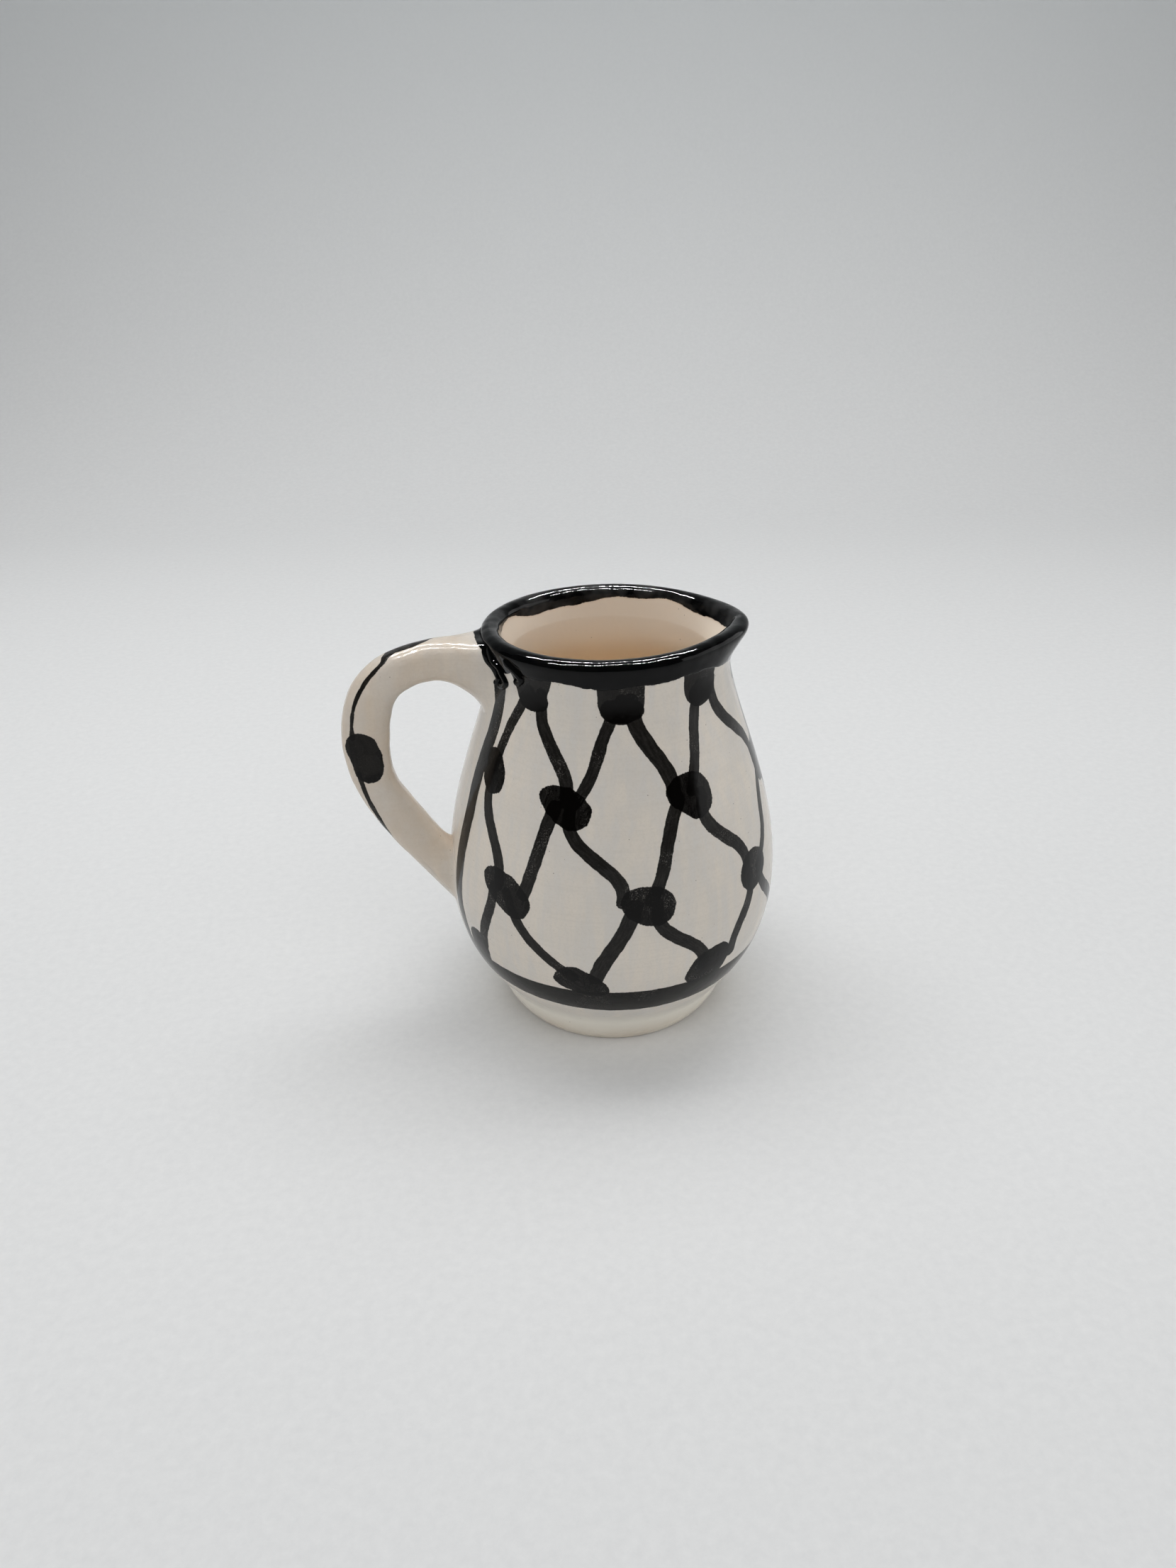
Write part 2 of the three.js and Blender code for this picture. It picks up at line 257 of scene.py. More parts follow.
def mouth_radius(azimuth):
    backness = ((1 - np.cos(np.radians(azimuth - SPOUT_AZIMUTH))) / 2) ** RIM_BACK_SHARPNESS
    return RIM_SIDE_RADIUS + (RIM_BACK_RADIUS - RIM_SIDE_RADIUS) * backness


def lip_outer_radius(azimuth):
    return mouth_radius(azimuth) + SPOUT_REACH * swelling(azimuth, SPOUT_AZIMUTH, SPOUT_HALF_ANGLE)


def lip_inner_radius(azimuth):
    away = np.abs(degrees_from(azimuth, SPOUT_AZIMUTH)) / GROOVE_HALF_ANGLE
    groove = GROOVE_REACH * np.exp(-(away ** GROOVE_SHARPNESS))
    return mouth_radius(azimuth) - RIM_THICKNESS + groove


def lip_edge_height(azimuth):
    """The height where the lip's rounding begins, which tilts and lifts with the lip."""
    tilt = -RIM_TILT * np.sin(np.radians(azimuth))
    lift = SPOUT_LIFT * swelling(azimuth, SPOUT_AZIMUTH, LIFT_HALF_ANGLE)
    return JUG_HEIGHT + tilt + lift - LIP_ROUNDING


def rim_side(azimuth, seat_radius, edge_radius):
    """The flare from the neck to the lip's edge at each azimuth."""
    edge_height = lip_edge_height(azimuth)
    rise = edge_height - NECK_HEIGHT
    seat_pull = pairs(0.0 * rise, RIM_SEAT_PULL * rise)
    edge_pull = pairs(RIM_EDGE_LEAN * (seat_radius - edge_radius), -RIM_EDGE_PULL * rise)
    seat = np.broadcast_to((seat_radius, NECK_HEIGHT), seat_pull.shape)
    return pulled_curve(seat, seat_pull, edge_pull, pairs(edge_radius, edge_height), RIM_STEPS)


def wall_radius(azimuth, height):
    """The pot's outside radius, good enough above the neck to lay paint and runs on."""
    share = np.clip((height - NECK_HEIGHT) / (lip_edge_height(azimuth) - NECK_HEIGHT), 0.0, 1.0)
    flare = NECK_RADIUS + (lip_outer_radius(azimuth) - NECK_RADIUS) * share ** FLARE_POWER
    return np.where(height > NECK_HEIGHT, flare, belly_radius(height))


def on_wall(azimuth, height, proud=0.0):
    """Points on the pot's outside at azimuths in degrees and heights."""
    height = np.asarray(height, float)
    radius = wall_radius(azimuth, height) + proud
    angle = np.radians(azimuth)
    return np.stack([radius * np.cos(angle), radius * np.sin(angle), height], -1)


def wall_normal(azimuth, height):
    """The pot's outward normal, from two short steps along its wall."""
    round_it = on_wall(azimuth + AZIMUTH_STEP, height) - on_wall(azimuth - AZIMUTH_STEP, height)
    up_it = on_wall(azimuth, height + HEIGHT_STEP) - on_wall(azimuth, height - HEIGHT_STEP)
    return unit(np.cross(round_it, up_it))


# The pot's sections, one per column, from the base's middle over the rim to the floor's middle

azimuths = np.linspace(-180.0, 180.0, COLUMNS, endpoint=False)


def everywhere(profile):
    return np.broadcast_to(profile, (COLUMNS, *profile.shape))


def ease_rows(grid, first, last, spare, rounds):
    """Rounds corners of the sections off, at some of their rows and beside them."""
    rows = np.arange(first - spare, last + spare + 1)
    for _ in range(rounds):
        middle = 0.5 * (grid[:, rows - 1] + grid[:, rows + 1])
        grid[:, rows] += 0.5 * (middle - grid[:, rows])


def foot_profile():
    """The base's half, the foot's turned edge and its side, which is drawn towards one corner."""
    flat_radius = FOOT_BASE_RADIUS - FOOT_EDGE
    base = pairs(np.linspace(0.0, flat_radius, FLAT_STEPS), np.zeros(FLAT_STEPS))
    edge = arc((flat_radius, FOOT_EDGE), FOOT_EDGE, -90.0, FOOT_EDGE_TURN, EDGE_STEPS)
    start = edge[-1]
    end = np.array([FOOT_TOP_RADIUS, FOOT_HEIGHT])
    corner = np.array(FOOT_SIDE_CORNER)
    side = pulled_curve(start, (corner - start) * 2 / 3, (corner - end) * 2 / 3, end, SIDE_STEPS)
    return np.vstack([base, edge[1:-1], side])


def inside_profile():
    """The inside from the neck down to the floor's middle."""
    turn_height = FLOOR_HEIGHT + WALL
    heights = np.linspace(NECK_HEIGHT, turn_height, INSIDE_STEPS)[1:]
    wall = pairs(belly_radius(heights) - WALL, heights)
    bottom = arc((wall[-1, 0] - WALL, turn_height), WALL, 0.0, -90.0, BOTTOM_STEPS)[1:]
    floor = pairs(np.linspace(bottom[-1, 0], 0.0, FLAT_STEPS), np.full(FLAT_STEPS, FLOOR_HEIGHT))[1:]
    return np.vstack([wall, bottom, floor])


def pot_sections():
    """The sections, and their rows at the crease, the neck, the lip's crest and the inner neck."""
    outer = rim_side(azimuths, NECK_RADIUS, lip_outer_radius(azimuths))
    inner = rim_side(azimuths, NECK_RADIUS - WALL, lip_inner_radius(azimuths))[:, ::-1]
    swing = np.linspace(0.0, math.pi, ROLL_STEPS)[1:-1]
    middle = (outer[:, -1:, 0] + inner[:, :1, 0]) / 2
    half = (outer[:, -1:, 0] - inner[:, :1, 0]) / 2
    roll = pairs(middle + half * np.cos(swing), outer[:, -1:, 1] + LIP_ROUNDING * np.sin(swing))
    foot, belly, inside = (everywhere(part) for part in (foot_profile(), BELLY[1:], inside_profile()))
    parts = [foot, belly, outer[:, 1:], roll, inner, inside]
    grid = np.concatenate(parts, axis=1)
    ends = np.cumsum([part.shape[1] for part in parts])
    crease, neck, lip_outer = ends[:3] - 1
    lip_inner = ends[3]
    inner_neck = ends[4] - 1
    ease_rows(grid, crease, crease, *CREASE_EASING)
    ease_rows(grid, neck, neck, *NECK_EASING)
    ease_rows(grid, lip_outer, lip_inner, *LIP_EASING)
    ease_rows(grid, inner_neck, inner_neck, *INNER_NECK_EASING)
    bore = grid[:, lip_inner:]
    bore[..., 0] -= NECK_SWELL * bell((bore[..., 1] - NECK_SWELL_HEIGHT) / NECK_SWELL_SPAN)
    return grid, crease, neck, (lip_outer + lip_inner) // 2, inner_neck


def grid_normals(rings):
    """Smooth normals of a stack of closed rings, (rows, columns, 3)."""
    round_it = np.roll(rings, -1, axis=1) - np.roll(rings, 1, axis=1)
    return unit(np.cross(round_it, np.gradient(rings, axis=0)))


# The handle

def handle_line():
    """The centre line in the XZ plane, from the neck by the bend to the tail."""
    slope = math.radians(HANDLE_TAIL_SLOPE)
    drop = HANDLE_BEND_HEIGHT - HANDLE_TAIL_HEIGHT
    root = (-NECK_RADIUS, HANDLE_TOP_HEIGHT)
    bend = (-HANDLE_REACH, HANDLE_BEND_HEIGHT)
    tail = (-belly_radius(HANDLE_TAIL_HEIGHT), HANDLE_TAIL_HEIGHT)
    root_pull = (-ROOT_PULL * (HANDLE_REACH - NECK_RADIUS), 0.0)
    above = (0.0, BEND_PULL_ABOVE * HANDLE_BEND_DROP)
    below = (0.0, -BEND_PULL_BELOW * drop)
    tail_pull = TAIL_PULL * drop * np.array([-math.cos(slope), math.sin(slope)])
    root_to_bend = pulled_curve(root, root_pull, above, bend, LINE_STEPS)
    bend_to_tail = pulled_curve(bend, below, tail_pull, tail, LINE_STEPS)
    return np.vstack([root_to_bend, bend_to_tail[1:]])


LINE = handle_line()
LINE_LENGTHS = lengths_along(LINE)
HANDLE_LENGTH = LINE_LENGTHS[-1]
BEND_LENGTH = LINE_LENGTHS[LINE_STEPS - 1]


def line_point(distance):
    x, z = (np.interp(distance, LINE_LENGTHS, axis) for axis in LINE.T)
    return np.stack([x, np.zeros_like(x), z], -1)


def handle_frame(distance):
    """Centre and outward side of the handle along its line, which runs on straight past its ends."""
    along = np.clip(distance, 0.0, HANDLE_LENGTH)
    direction = unit(line_point(along + LINE_STEP) - line_point(along - LINE_STEP))
    centre = line_point(along) + direction * (distance - along)[..., None]
    return centre, np.cross((0.0, 1.0, 0.0), direction)


def hand_marks(distance, angle):
    """How far the potter's fingers pressed the handle in, in millimetres."""
    turn = np.radians(angle)
    waves = [np.sin(along * distance + count * turn + start) for along, count, start in HAND_MARK_WAVES]
    return HAND_MARK_DEPTH * (1.0 + sum(waves) / len(waves)) / 2


def handle_skin(distance, angle):
    """Points of the handle's skin. The angle is 0 on the spine and 90 on the side towards -Y."""
    distance, angle = np.broadcast_arrays(distance, angle)
    centre, outward = handle_frame(distance)
    before = distance < BEND_LENGTH
    to_tail = (HANDLE_LENGTH - distance) / (HANDLE_LENGTH - BEND_LENGTH)
    nearness = smooth_share(np.where(before, distance / BEND_LENGTH, to_tail))
    end = np.where(before, HANDLE_ROOT_THICKNESS, HANDLE_TAIL_THICKNESS)
    pressed = hand_marks(distance, angle)
    half = (end + (HANDLE_BEND_THICKNESS - end) * nearness) / 2 - pressed
    sunk = HANDLE_ROOT_DIP * (1.0 - smooth_share(distance / UPPER_JOINT_LENGTH))
    along = np.clip(distance / HANDLE_LENGTH, 0.0, 1.0)
    scooped = HANDLE_HOLLOW * sum(bell((along - share) / HOLLOW_SPAN) for share in HOLLOW_SHARES)
    power = 2.0 / SECTION_SQUARENESS
    cosine = np.cos(np.radians(angle))
    sine = np.sin(np.radians(angle))
    depth = np.sign(cosine) * np.abs(cosine) ** power * (half - np.where(cosine < 0, scooped, sunk))
    flank = -np.sign(sine) * np.abs(sine) ** power * (HANDLE_WIDTH / 2 - pressed)
    return centre + outward * depth[..., None] + flank[..., None] * np.array([0.0, 1.0, 0.0])


section_angles = np.linspace(0.0, 360.0, SIDES, endpoint=False)


def joint_rings(start, beyond, inner_fillet, flank_fillet):
    """Rings from the handle's section at a distance along it to fillets that lie flat on the wall."""
    distance = np.linspace(start, beyond, JOINT_SAMPLES)
    skin = handle_skin(distance[:, None], section_angles[None])
    middle = handle_frame(distance)[0]
    depth = wall_radius(azimuth_of(skin), skin[..., 2]) - np.hypot(skin[..., 0], skin[..., 1])
    turn = np.linspace(0.0, math.pi / 2, JOINT_STEPS)
    along_skin = np.sin(turn) ** FILLET_FULLNESS
    along_wall = 1.0 - np.cos(turn) ** FILLET_FULLNESS
    rings = np.empty((JOINT_STEPS, SIDES, 3))
    for side, angle in enumerate(section_angles):
        last = int(np.argmax(depth[:, side] > JOINT_SINK))
        share = (JOINT_SINK - depth[last - 1, side]) / (depth[last, side] - depth[last - 1, side])
        hit = skin[last - 1, side] + share * (skin[last, side] - skin[last - 1, side])
        line = np.vstack([skin[:last, side], hit])
        lengths = lengths_along(line)
        steps = lengths[-1] * along_skin
        rings[:, side] = np.stack([np.interp(steps, lengths, axis) for axis in line.T], -1)
        cosine = math.cos(math.radians(angle))
        spread = SPINE_FILLET if cosine > 0 else inner_fillet
        toe = cosine ** 2 * spread + (1.0 - cosine ** 2) * flank_fillet
        normal = wall_normal(azimuth_of(hit), hit[2])
        away = hit - middle[last]
        away -= away.dot(normal) * normal
        foot = hit + unit(away) * toe
        on_foot = on_wall(azimuth_of(foot), foot[2], proud=-JOINT_SINK)
        rings[:, side] += (on_foot - hit) * along_wall[:, None]
    feet = rings[-1]
    return rings, wall_normal(azimuth_of(feet), feet[:, 2])


# The knots of the brushed net, in rows round the pot: azimuth in degrees and height in millimetres
KNOTS = {
    "T1": (-137, 93), "T2": (-95, 93), "T3": (-55, 93.4), "T4": (-10, 92), "T5": (34, 92),
    "T6": (79, 92), "T7": (124, 91.5),
    "A0": (-153, 72.5), "A1": (-117, 69.5), "A2": (-69, 70.5), "A3": (-18, 67.5), "A4": (27, 70),
    "A5": (72, 69), "A6": (116, 70.5), "A7": (152, 71.5),
    "B0": (-137, 47), "B1": (-89, 48), "B2": (-44, 47), "B3": (2, 48), "B4": (49, 46.5),
    "B5": (94, 47.5), "B6": (137, 47),
    "C0": (-154, 28), "C1": (-111, 27.5), "C2": (-65, 27), "C3": (-20, 27.5), "C4": (26, 28),
    "C5": (71, 27), "C6": (114, 27.5), "C7": (153, 28),
}

# The dabs of the brush that make a knot, each as millimetres right, up and its radius
ROUND_KNOT = [(0.6, -0.4, 4.5), (-1.4, 0.6, 3.9), (-3.2, 1.2, 2.6)]
TAB_KNOT = [(-2.2, -2.3, 2.6), (0, -2.4, 2.8), (2.2, -2.2, 2.6)]
DABS = {
    "T1": [(-2, -2.2, 2.2), (0.2, -2.6, 2.3), (2.2, -2, 2.2)],
    "T2": [(-2.3, -2.4, 2.6), (0.2, -2.4, 2.8), (2.6, -2.4, 2.5)],
    "T3": [(-1.6, -2, 2.4), (0.4, -1.9, 2.6), (2, -1.7, 2.4)],
    "A0": [(0.6, -1.4, 4), (-0.2, 0.6, 4), (-0.8, 2.2, 3.2)],
    "A1": [(1.7, -0.7, 4.5), (-0.6, 0.7, 4.3), (-3.2, 1.9, 3), (-5.3, 2.4, 1.1)],
    "A2": [(1.2, 0.6, 4.7), (2, -2, 3.9), (-1.2, 1.1, 4.3), (-3.4, 1.4, 2.4)],
    "A3": [(0, -1, 4.6), (0.6, 1.8, 4.2)],
    "B0": [(2.2, -1.6, 4.5), (0, 0.2, 4.6), (-2.6, 1.2, 4.2), (-5, 2, 2.9)],
    "B1": [(2.4, -0.6, 4.9), (0.2, 0, 4.7), (-2.2, 0.9, 3.6)],
    "B2": [(0.2, -0.8, 4.6), (0.8, 1, 4.4), (-1, 0.2, 4.4), (2.6, 0, 4.3)],
    "C0": [(0, 0, 4), (0, -3, 4)],
    "C1": [(-1.8, 0.2, 4.2), (0.6, -0.8, 3.9), (2.8, -1.8, 3.4), (-4.6, -0.4, 1.9), (5.2, -3.2, 1.9)],
    "C2": [(2.4, 1.8, 4.1), (0.2, 0.3, 4.5), (-2.6, -1.4, 4.1), (1.6, -1.4, 3.8), (-1.6, 1.4, 3.5)],
}

# How far the dabs of a knot flow into each other, and how much is trimmed off them
DAB_FLOW = 0.6
DAB_TRIM = 0.25

# The tabs that hang from the rim's black: azimuth, lower end, half width at the top and below
TABS = [
    (-138.5, 92.4, 6.3, 4.0), (-95.2, 92.6, 5.3, 5.1), (-55, 93.2, 5.3, 4.9), (-10, 92.8, 5.4, 5.0),
    (34, 92.5, 5.8, 4.8), (79, 93.0, 5.4, 5.0), (124, 92.7, 5.9, 4.6),
]
TAB_TOP = 98.0
TAB_POINTS = 24

# The strands between knots: degrees beside the knot where each leaves and arrives, how far it sways
# on the way (1 leaves and arrives upright) and how far it bows to the side in degrees, if it does
STRANDS = {
    "T1 A0": (-2, 0, 0.0, -3), "T1 A1": (5, 0, 1.2), "T2 A1": (0, 2, -0.4),
    "T2 A2": (4, -6, 0.8), "T3 A2": (-1, 0, -0.4), "T3 A3": (8, -5, 1.2),
    "T4 A3": (-2, 4, -0.3), "T4 A4": (5, -4, 1.0), "T5 A4": (-2, 3, -0.3),
    "T5 A5": (5, -4, 1.2), "T6 A5": (-2, 3, -0.4), "T6 A6": (5, -5, 1.0),
    "T7 A6": (-1, 3, -0.3), "T7 A7": (4, 0, 0.4, 2),
    "A0 B0": (0, -4, 1.3), "A1 B0": (-4, 6, -0.2), "A1 B1": (2, -8, 1.4, 0.5),
    "A2 B1": (-5, 1, -0.4), "A2 B2": (5, -4, 1.5), "A3 B2": (-3, 4, -0.6),
    "A3 B3": (3, -5, 1.3), "A4 B3": (-4, 4, -0.3), "A4 B4": (4, -5, 1.5, 1),
    "A5 B4": (-4, 4, -0.2), "A5 B5": (4, -5, 1.4), "A6 B5": (-4, 4, -0.4),
    "A6 B6": (3, -5, 1.3), "A7 B6": (-1, 4, 0.8),
    "B0 C0": (-6, 4, 0.6), "B0 C1": (0, 0, 0.0, -4.5), "B1 C1": (-3.5, 5, 0.3),
    "B1 C2": (4, -3, 1.25), "B2 C2": (-2, 10, 1.2), "B2 C3": (4, -4, 0.8),
    "B3 C3": (-4, 6, 0.4), "B3 C4": (4, -3, 0.8, -2), "B4 C4": (-4, 6, 0.5),
    "B4 C5": (4, -3, 0.8), "B5 C5": (-4, 6, 0.4), "B5 C6": (4, -3, 0.6, -3),
    "B6 C6": (-4, 6, 0.4), "B6 C7": (5, -3, 0.6),
}
STRAND_HALF_WIDTH = 1.42
SWAYING_STRAND_EXTRA = 0.22
STOUT_STRANDS = {"T2 A2": 0.25, "B1 C1": 0.45, "A2 B1": 0.2, "A1 B0": 0.2}
STRAND_END = 0.95
STRAND_POINTS = 90

# The stripes that border the handle on the pot, as (azimuth, height), mirrored on the far side
BORDER = [(-160.5, 90.5), (-160, 82), (-163, 71), (-163, 59), (-165, 46), (-166, 36), (-163, 25)]
BORDER_HALF_WIDTH = 2.3
STRIPE_POINTS = 160

# The handle's stripe as distance along it, angle round it and half width, its tail's stripe with a half
# width at either end, and the dot between them
HANDLE_STRIPE = [
    (10.5, -50, 0.8), (13.2, -30, 1.6), (15.8, -10, 2.2), (18.0, -8, 2.4), (20.1, -6, 2.0),
    (21.7, 8, 1.2), (22.8, 30, 0.7), (25.2, 43, 0.6), (28.4, 51, 0.55), (31.3, 54, 0.5),
    (34.9, 58, 0.5), (39.0, 62, 0.7),
]
TAIL_STRIPE = [(47.5, 62), (50.8, 60), (53.6, 55), (56.6, 49), (59.3, 44), (62.0, 36), (65.0, 22)]
TAIL_STRIPE_HALF_WIDTHS = (0.6, 0.825)
TAIL_STRIPE_POINTS = 120
HANDLE_DOT = [(41.4, 80.0), (44.0, 87.0), (47.0, 88.0)]
HANDLE_DOT_RADIUS = 3.9

# Runs of thick black glaze down the upper joint's seams, as points of the CAD frame on the -Y side
GLAZE_RUNS = {
    "seam_run": [
        (-29.8, -5.6, 98.6), (-29.4, -6.5, 97.4), (-29.0, -6.8, 96.1), (-27.8, -7.3, 94.5),
        (-27.1, -7.7, 93.0), (-26.8, -8.2, 92.0), (-27.2, -7.7, 91.0), (-27.9, -7.1, 91.1),
    ],
    "wall_run": [
        (-28.9, -7.0, 99.2), (-28.4, -7.4, 97.5), (-27.9, -7.9, 96.2), (-26.8, -9.6, 95.3),
        (-26.2, -10.5, 94.0), (-25.7, -11.3, 93.0), (-25.5, -11.6, 92.1), (-26.3, -10.0, 90.8),
        (-27.1, -8.4, 90.7),
    ],
    "rim_run": [
        (-26.0, -13.9, 98.9), (-25.2, -14.7, 97.8), (-24.2, -15.7, 97.0), (-23.3, -16.6, 96.1),
        (-22.7, -16.8, 94.8), (-23.3, -15.7, 93.8), (-23.9, -14.9, 94.4),
    ],
}
GLAZE_RUN_RADIUS = 0.85
GLAZE_RUN_POINTS = 70
GLAZE_RUN_SIDES = 16
GLAZE_RUN_BLUNTNESS = 10
GLAZE_RUN_TIP = 0.02

# The band above the foot, with the waves of its middle and of its half height
BAND_MIDDLE = 20.0
BAND_MIDDLE_WAVES = [(0.25, 2, 30)]
BAND_HALF_HEIGHT = 3.7
BAND_HALF_WAVES = [(0.25, 3, 0)]

# The lower edge of the rim's black: its level, its waves, and its sags as azimuth, half angle and drop
OUTSIDE_BLACK = (
    96.0,
    [(0.35, 5, 40), (0.2, 11, 0)],
    [(SPOUT_AZIMUTH, 24.0, 3.4), (HANDLE_AZIMUTH - 24.0, 6.0, 1.6), (HANDLE_AZIMUTH + 24.0, 6.0, 1.6)],
)
INSIDE_BLACK = (
    98.0,
    [(0.75, 3, -54), (0.35, 10, 20)],
    [(122.0, 16.0, 0.9), (SPOUT_AZIMUTH, 10.0, -1.0)],
)
JOINT_BLACK_REACH = 1.4

# Where glaze is tinted warm and dark: in the lower joint's crotch, pooled glaze with a painted warm
# glow of light bounced between handle and pot; low on the foot, painted shade; and on the handle, its
# warmer tone, which sets in over a reach from the wall that grows between two heights
CROTCH = (-44.5, 0.0, 47.0)
CROTCH_SPAN = 7.0
# Painted shade low on the foot: the height over which it grows, and its most
FOOT_SHADE_SPAN = 10.0
FOOT_SHADE_MOST = 0.55
HANDLE_WARMTH = 0.58
WARMTH_HEIGHTS = (60.0, 75.0)
WARMTH_REACHES = (1.5, 6.0)

# A gap in millimetres that counts as far from any paint, and a shift that sets strokes apart
FAR = 6.0
STROKE_SHIFT = 37.0


# The paint, as gaps in millimetres to the edges of brush strokes

def strand_path(name, leaves, arrives, sway, bow=0.0):
    """The middle of one strand and its half width at each point."""
    t = np.linspace(0.0, STRAND_END, STRAND_POINTS)
    (start_azimuth, start_height), (end_azimuth, end_height) = (KNOTS[knot] for knot in name.split())
    first = start_azimuth + leaves
    last = end_azimuth + arrives
    eased = t - sway * np.sin(2 * np.pi * t) / (2 * np.pi)
    azimuth = first + (last - first) * eased + bow * np.sin(np.pi * t)
    height = start_height + (end_height - start_height) * t
    extra = SWAYING_STRAND_EXTRA * np.clip(sway, 0.0, 1.0) * np.sin(np.pi * t)
    return on_wall(azimuth, height), STRAND_HALF_WIDTH + STOUT_STRANDS.get(name, 0.0) + extra


def stroke_list():
    """Every thin stroke as its points and half widths."""
    strokes = [strand_path(name, *bends) for name, bends in STRANDS.items()]
    azimuth, height = smooth_path(BORDER, STRIPE_POINTS).T
    for side in (1.0, -1.0):
        strokes.append((on_wall(side * azimuth, height), np.full(len(height), BORDER_HALF_WIDTH)))
    distance, angle, half_widths = smooth_path(HANDLE_STRIPE, STRIPE_POINTS).T
    strokes.append((handle_skin(distance, angle), half_widths))
    distance, angle = smooth_path(TAIL_STRIPE, TAIL_STRIPE_POINTS).T
    half_widths = np.linspace(*TAIL_STRIPE_HALF_WIDTHS, len(distance))
    strokes.append((handle_skin(distance, angle), half_widths))
    return strokes


def knot_list():
    """Every knot as the middles and radii of its dabs."""
    knots = []
    for name, (azimuth, height) in KNOTS.items():
        usual = TAB_KNOT if name.startswith("T") else ROUND_KNOT
        right_mm, up_mm, radius = np.array(DABS.get(name, usual)).T
        around = wall_radius(azimuth, height)
        upright = math.sqrt(1.0 - wall_normal(azimuth, height)[2] ** 2)
        places = on_wall(azimuth + np.degrees(right_mm / around), height + up_mm * upright)
        knots.append((places, radius))
    distance, angle = np.array(HANDLE_DOT).T
    knots.append((handle_skin(distance, angle), np.full(len(distance), HANDLE_DOT_RADIUS)))
    return knots


STROKES = stroke_list()
KNOT_DABS = knot_list()


def stroke_values(points):
    """Each point's gap to the nearest stroke's edge, and its place across and along that stroke."""
    gap = np.full(len(points), FAR)
    across = np.zeros(len(points))
    along = np.zeros(len(points))
    for index, (path, widths) in enumerate(STROKES):
        in_box = (points > path.min(0) - FAR) & (points < path.max(0) + FAR)
        near = np.flatnonzero(in_box.all(1))
        away = points[near, None] - path
        reach = length(away) - widths
        best = reach.argmin(1)
        better = np.flatnonzero(reach.min(1) < gap[near])
        chosen = near[better]
        best = best[better]
        sideways = np.cross(unit(np.gradient(path, axis=0)[best]), unit(path[best]))
        gap[chosen] = reach[better, best]
        across[chosen] = (away[better, best] * sideways).sum(1)
        along[chosen] = lengths_along(path)[best] + STROKE_SHIFT * index
    return gap, across, along


def knot_gap(points):
    """The gap to the nearest knot's edge, with the dabs of a knot flowing into each other."""
    gap = np.full(len(points), FAR)
    for places, radii in KNOT_DABS:
        reach = length(points[:, None] - places) - radii
        flowing = -DAB_FLOW * np.log(np.exp(-reach / DAB_FLOW).sum(1))
        gap = np.minimum(gap, flowing + DAB_TRIM)
    return gap


def tab_gap(points):
    """The gap to the nearest tab's edge."""
    gap = np.full(len(points), FAR)
    for azimuth, lower_end, top_width, low_width in TABS:
        height = np.linspace(TAB_TOP, lower_end, TAB_POINTS)
        widths = np.linspace(top_width, low_width, TAB_POINTS)
        reach = length(points[:, None] - on_wall(azimuth + 0.0 * height, height)) - widths
        gap = np.minimum(gap, reach.min(1))
    return gap


def band_gap(azimuth, height):
    middle = BAND_MIDDLE + round_waves(azimuth, BAND_MIDDLE_WAVES)
    half = BAND_HALF_HEIGHT + round_waves(azimuth, BAND_HALF_WAVES)
    return np.abs(height - middle) - half


def black_edge(azimuth, level, waves, sags):
    """The height of the lower edge of the rim's black."""
    sagging = sum(drop * swelling(azimuth, middle, half_angle) for middle, half_angle, drop in sags)
    return level + round_waves(azimuth, waves) - sagging


def paint_values(points, inside=False, rim_gap=None, warmth=0.0):
    """The paint attributes of points. The handle has its own gap to the black and no band."""
    flat = points.reshape(-1, 3)
    azimuth = azimuth_of(flat)
    height = flat[:, 2]
    strand = knot = band = np.full(len(flat), FAR)
    across = along = np.zeros(len(flat))
    if not inside:
        strand, across, along = stroke_values(flat)
        knot = knot_gap(flat)
    if rim_gap is None:
        rim_gap = black_edge(azimuth, *(INSIDE_BLACK if inside else OUTSIDE_BLACK)) - height
        band = band if inside else np.minimum(band_gap(azimuth, height), tab_gap(flat))
    # Painted shade: the foot darkens towards the paper it stands on
    painted_foot_shade = np.clip((FOOT_HEIGHT - height) / FOOT_SHADE_SPAN, 0.0, FOOT_SHADE_MOST)
    # The crotch: pooled glaze with a painted warm glow of light bounced between handle and pot
    in_crotch = bell(length(flat - CROTCH) / CROTCH_SPAN)
    made = dict(strand=strand, knot=knot, band=band, across=across, along=along, rim=rim_gap)
    made["inside"] = np.full(len(flat), float(inside))
    made["pooled"] = np.maximum(in_crotch, painted_foot_shade + warmth)
    return {name: value.reshape(points.shape[:-1]) for name, value in made.items()}


# Meshes

def placed(name, data):
    """A new object in the scene."""
    made = bpy.data.objects.new(name, data)
    bpy.context.scene.collection.objects.link(made)
    return made


def smooth_mesh(name, vertices, faces):
    mesh = bpy.data.meshes.new(name)
    mesh.from_pydata(vertices, [], faces)
    mesh.polygons.foreach_set("use_smooth", np.ones(len(faces), bool))
    return mesh


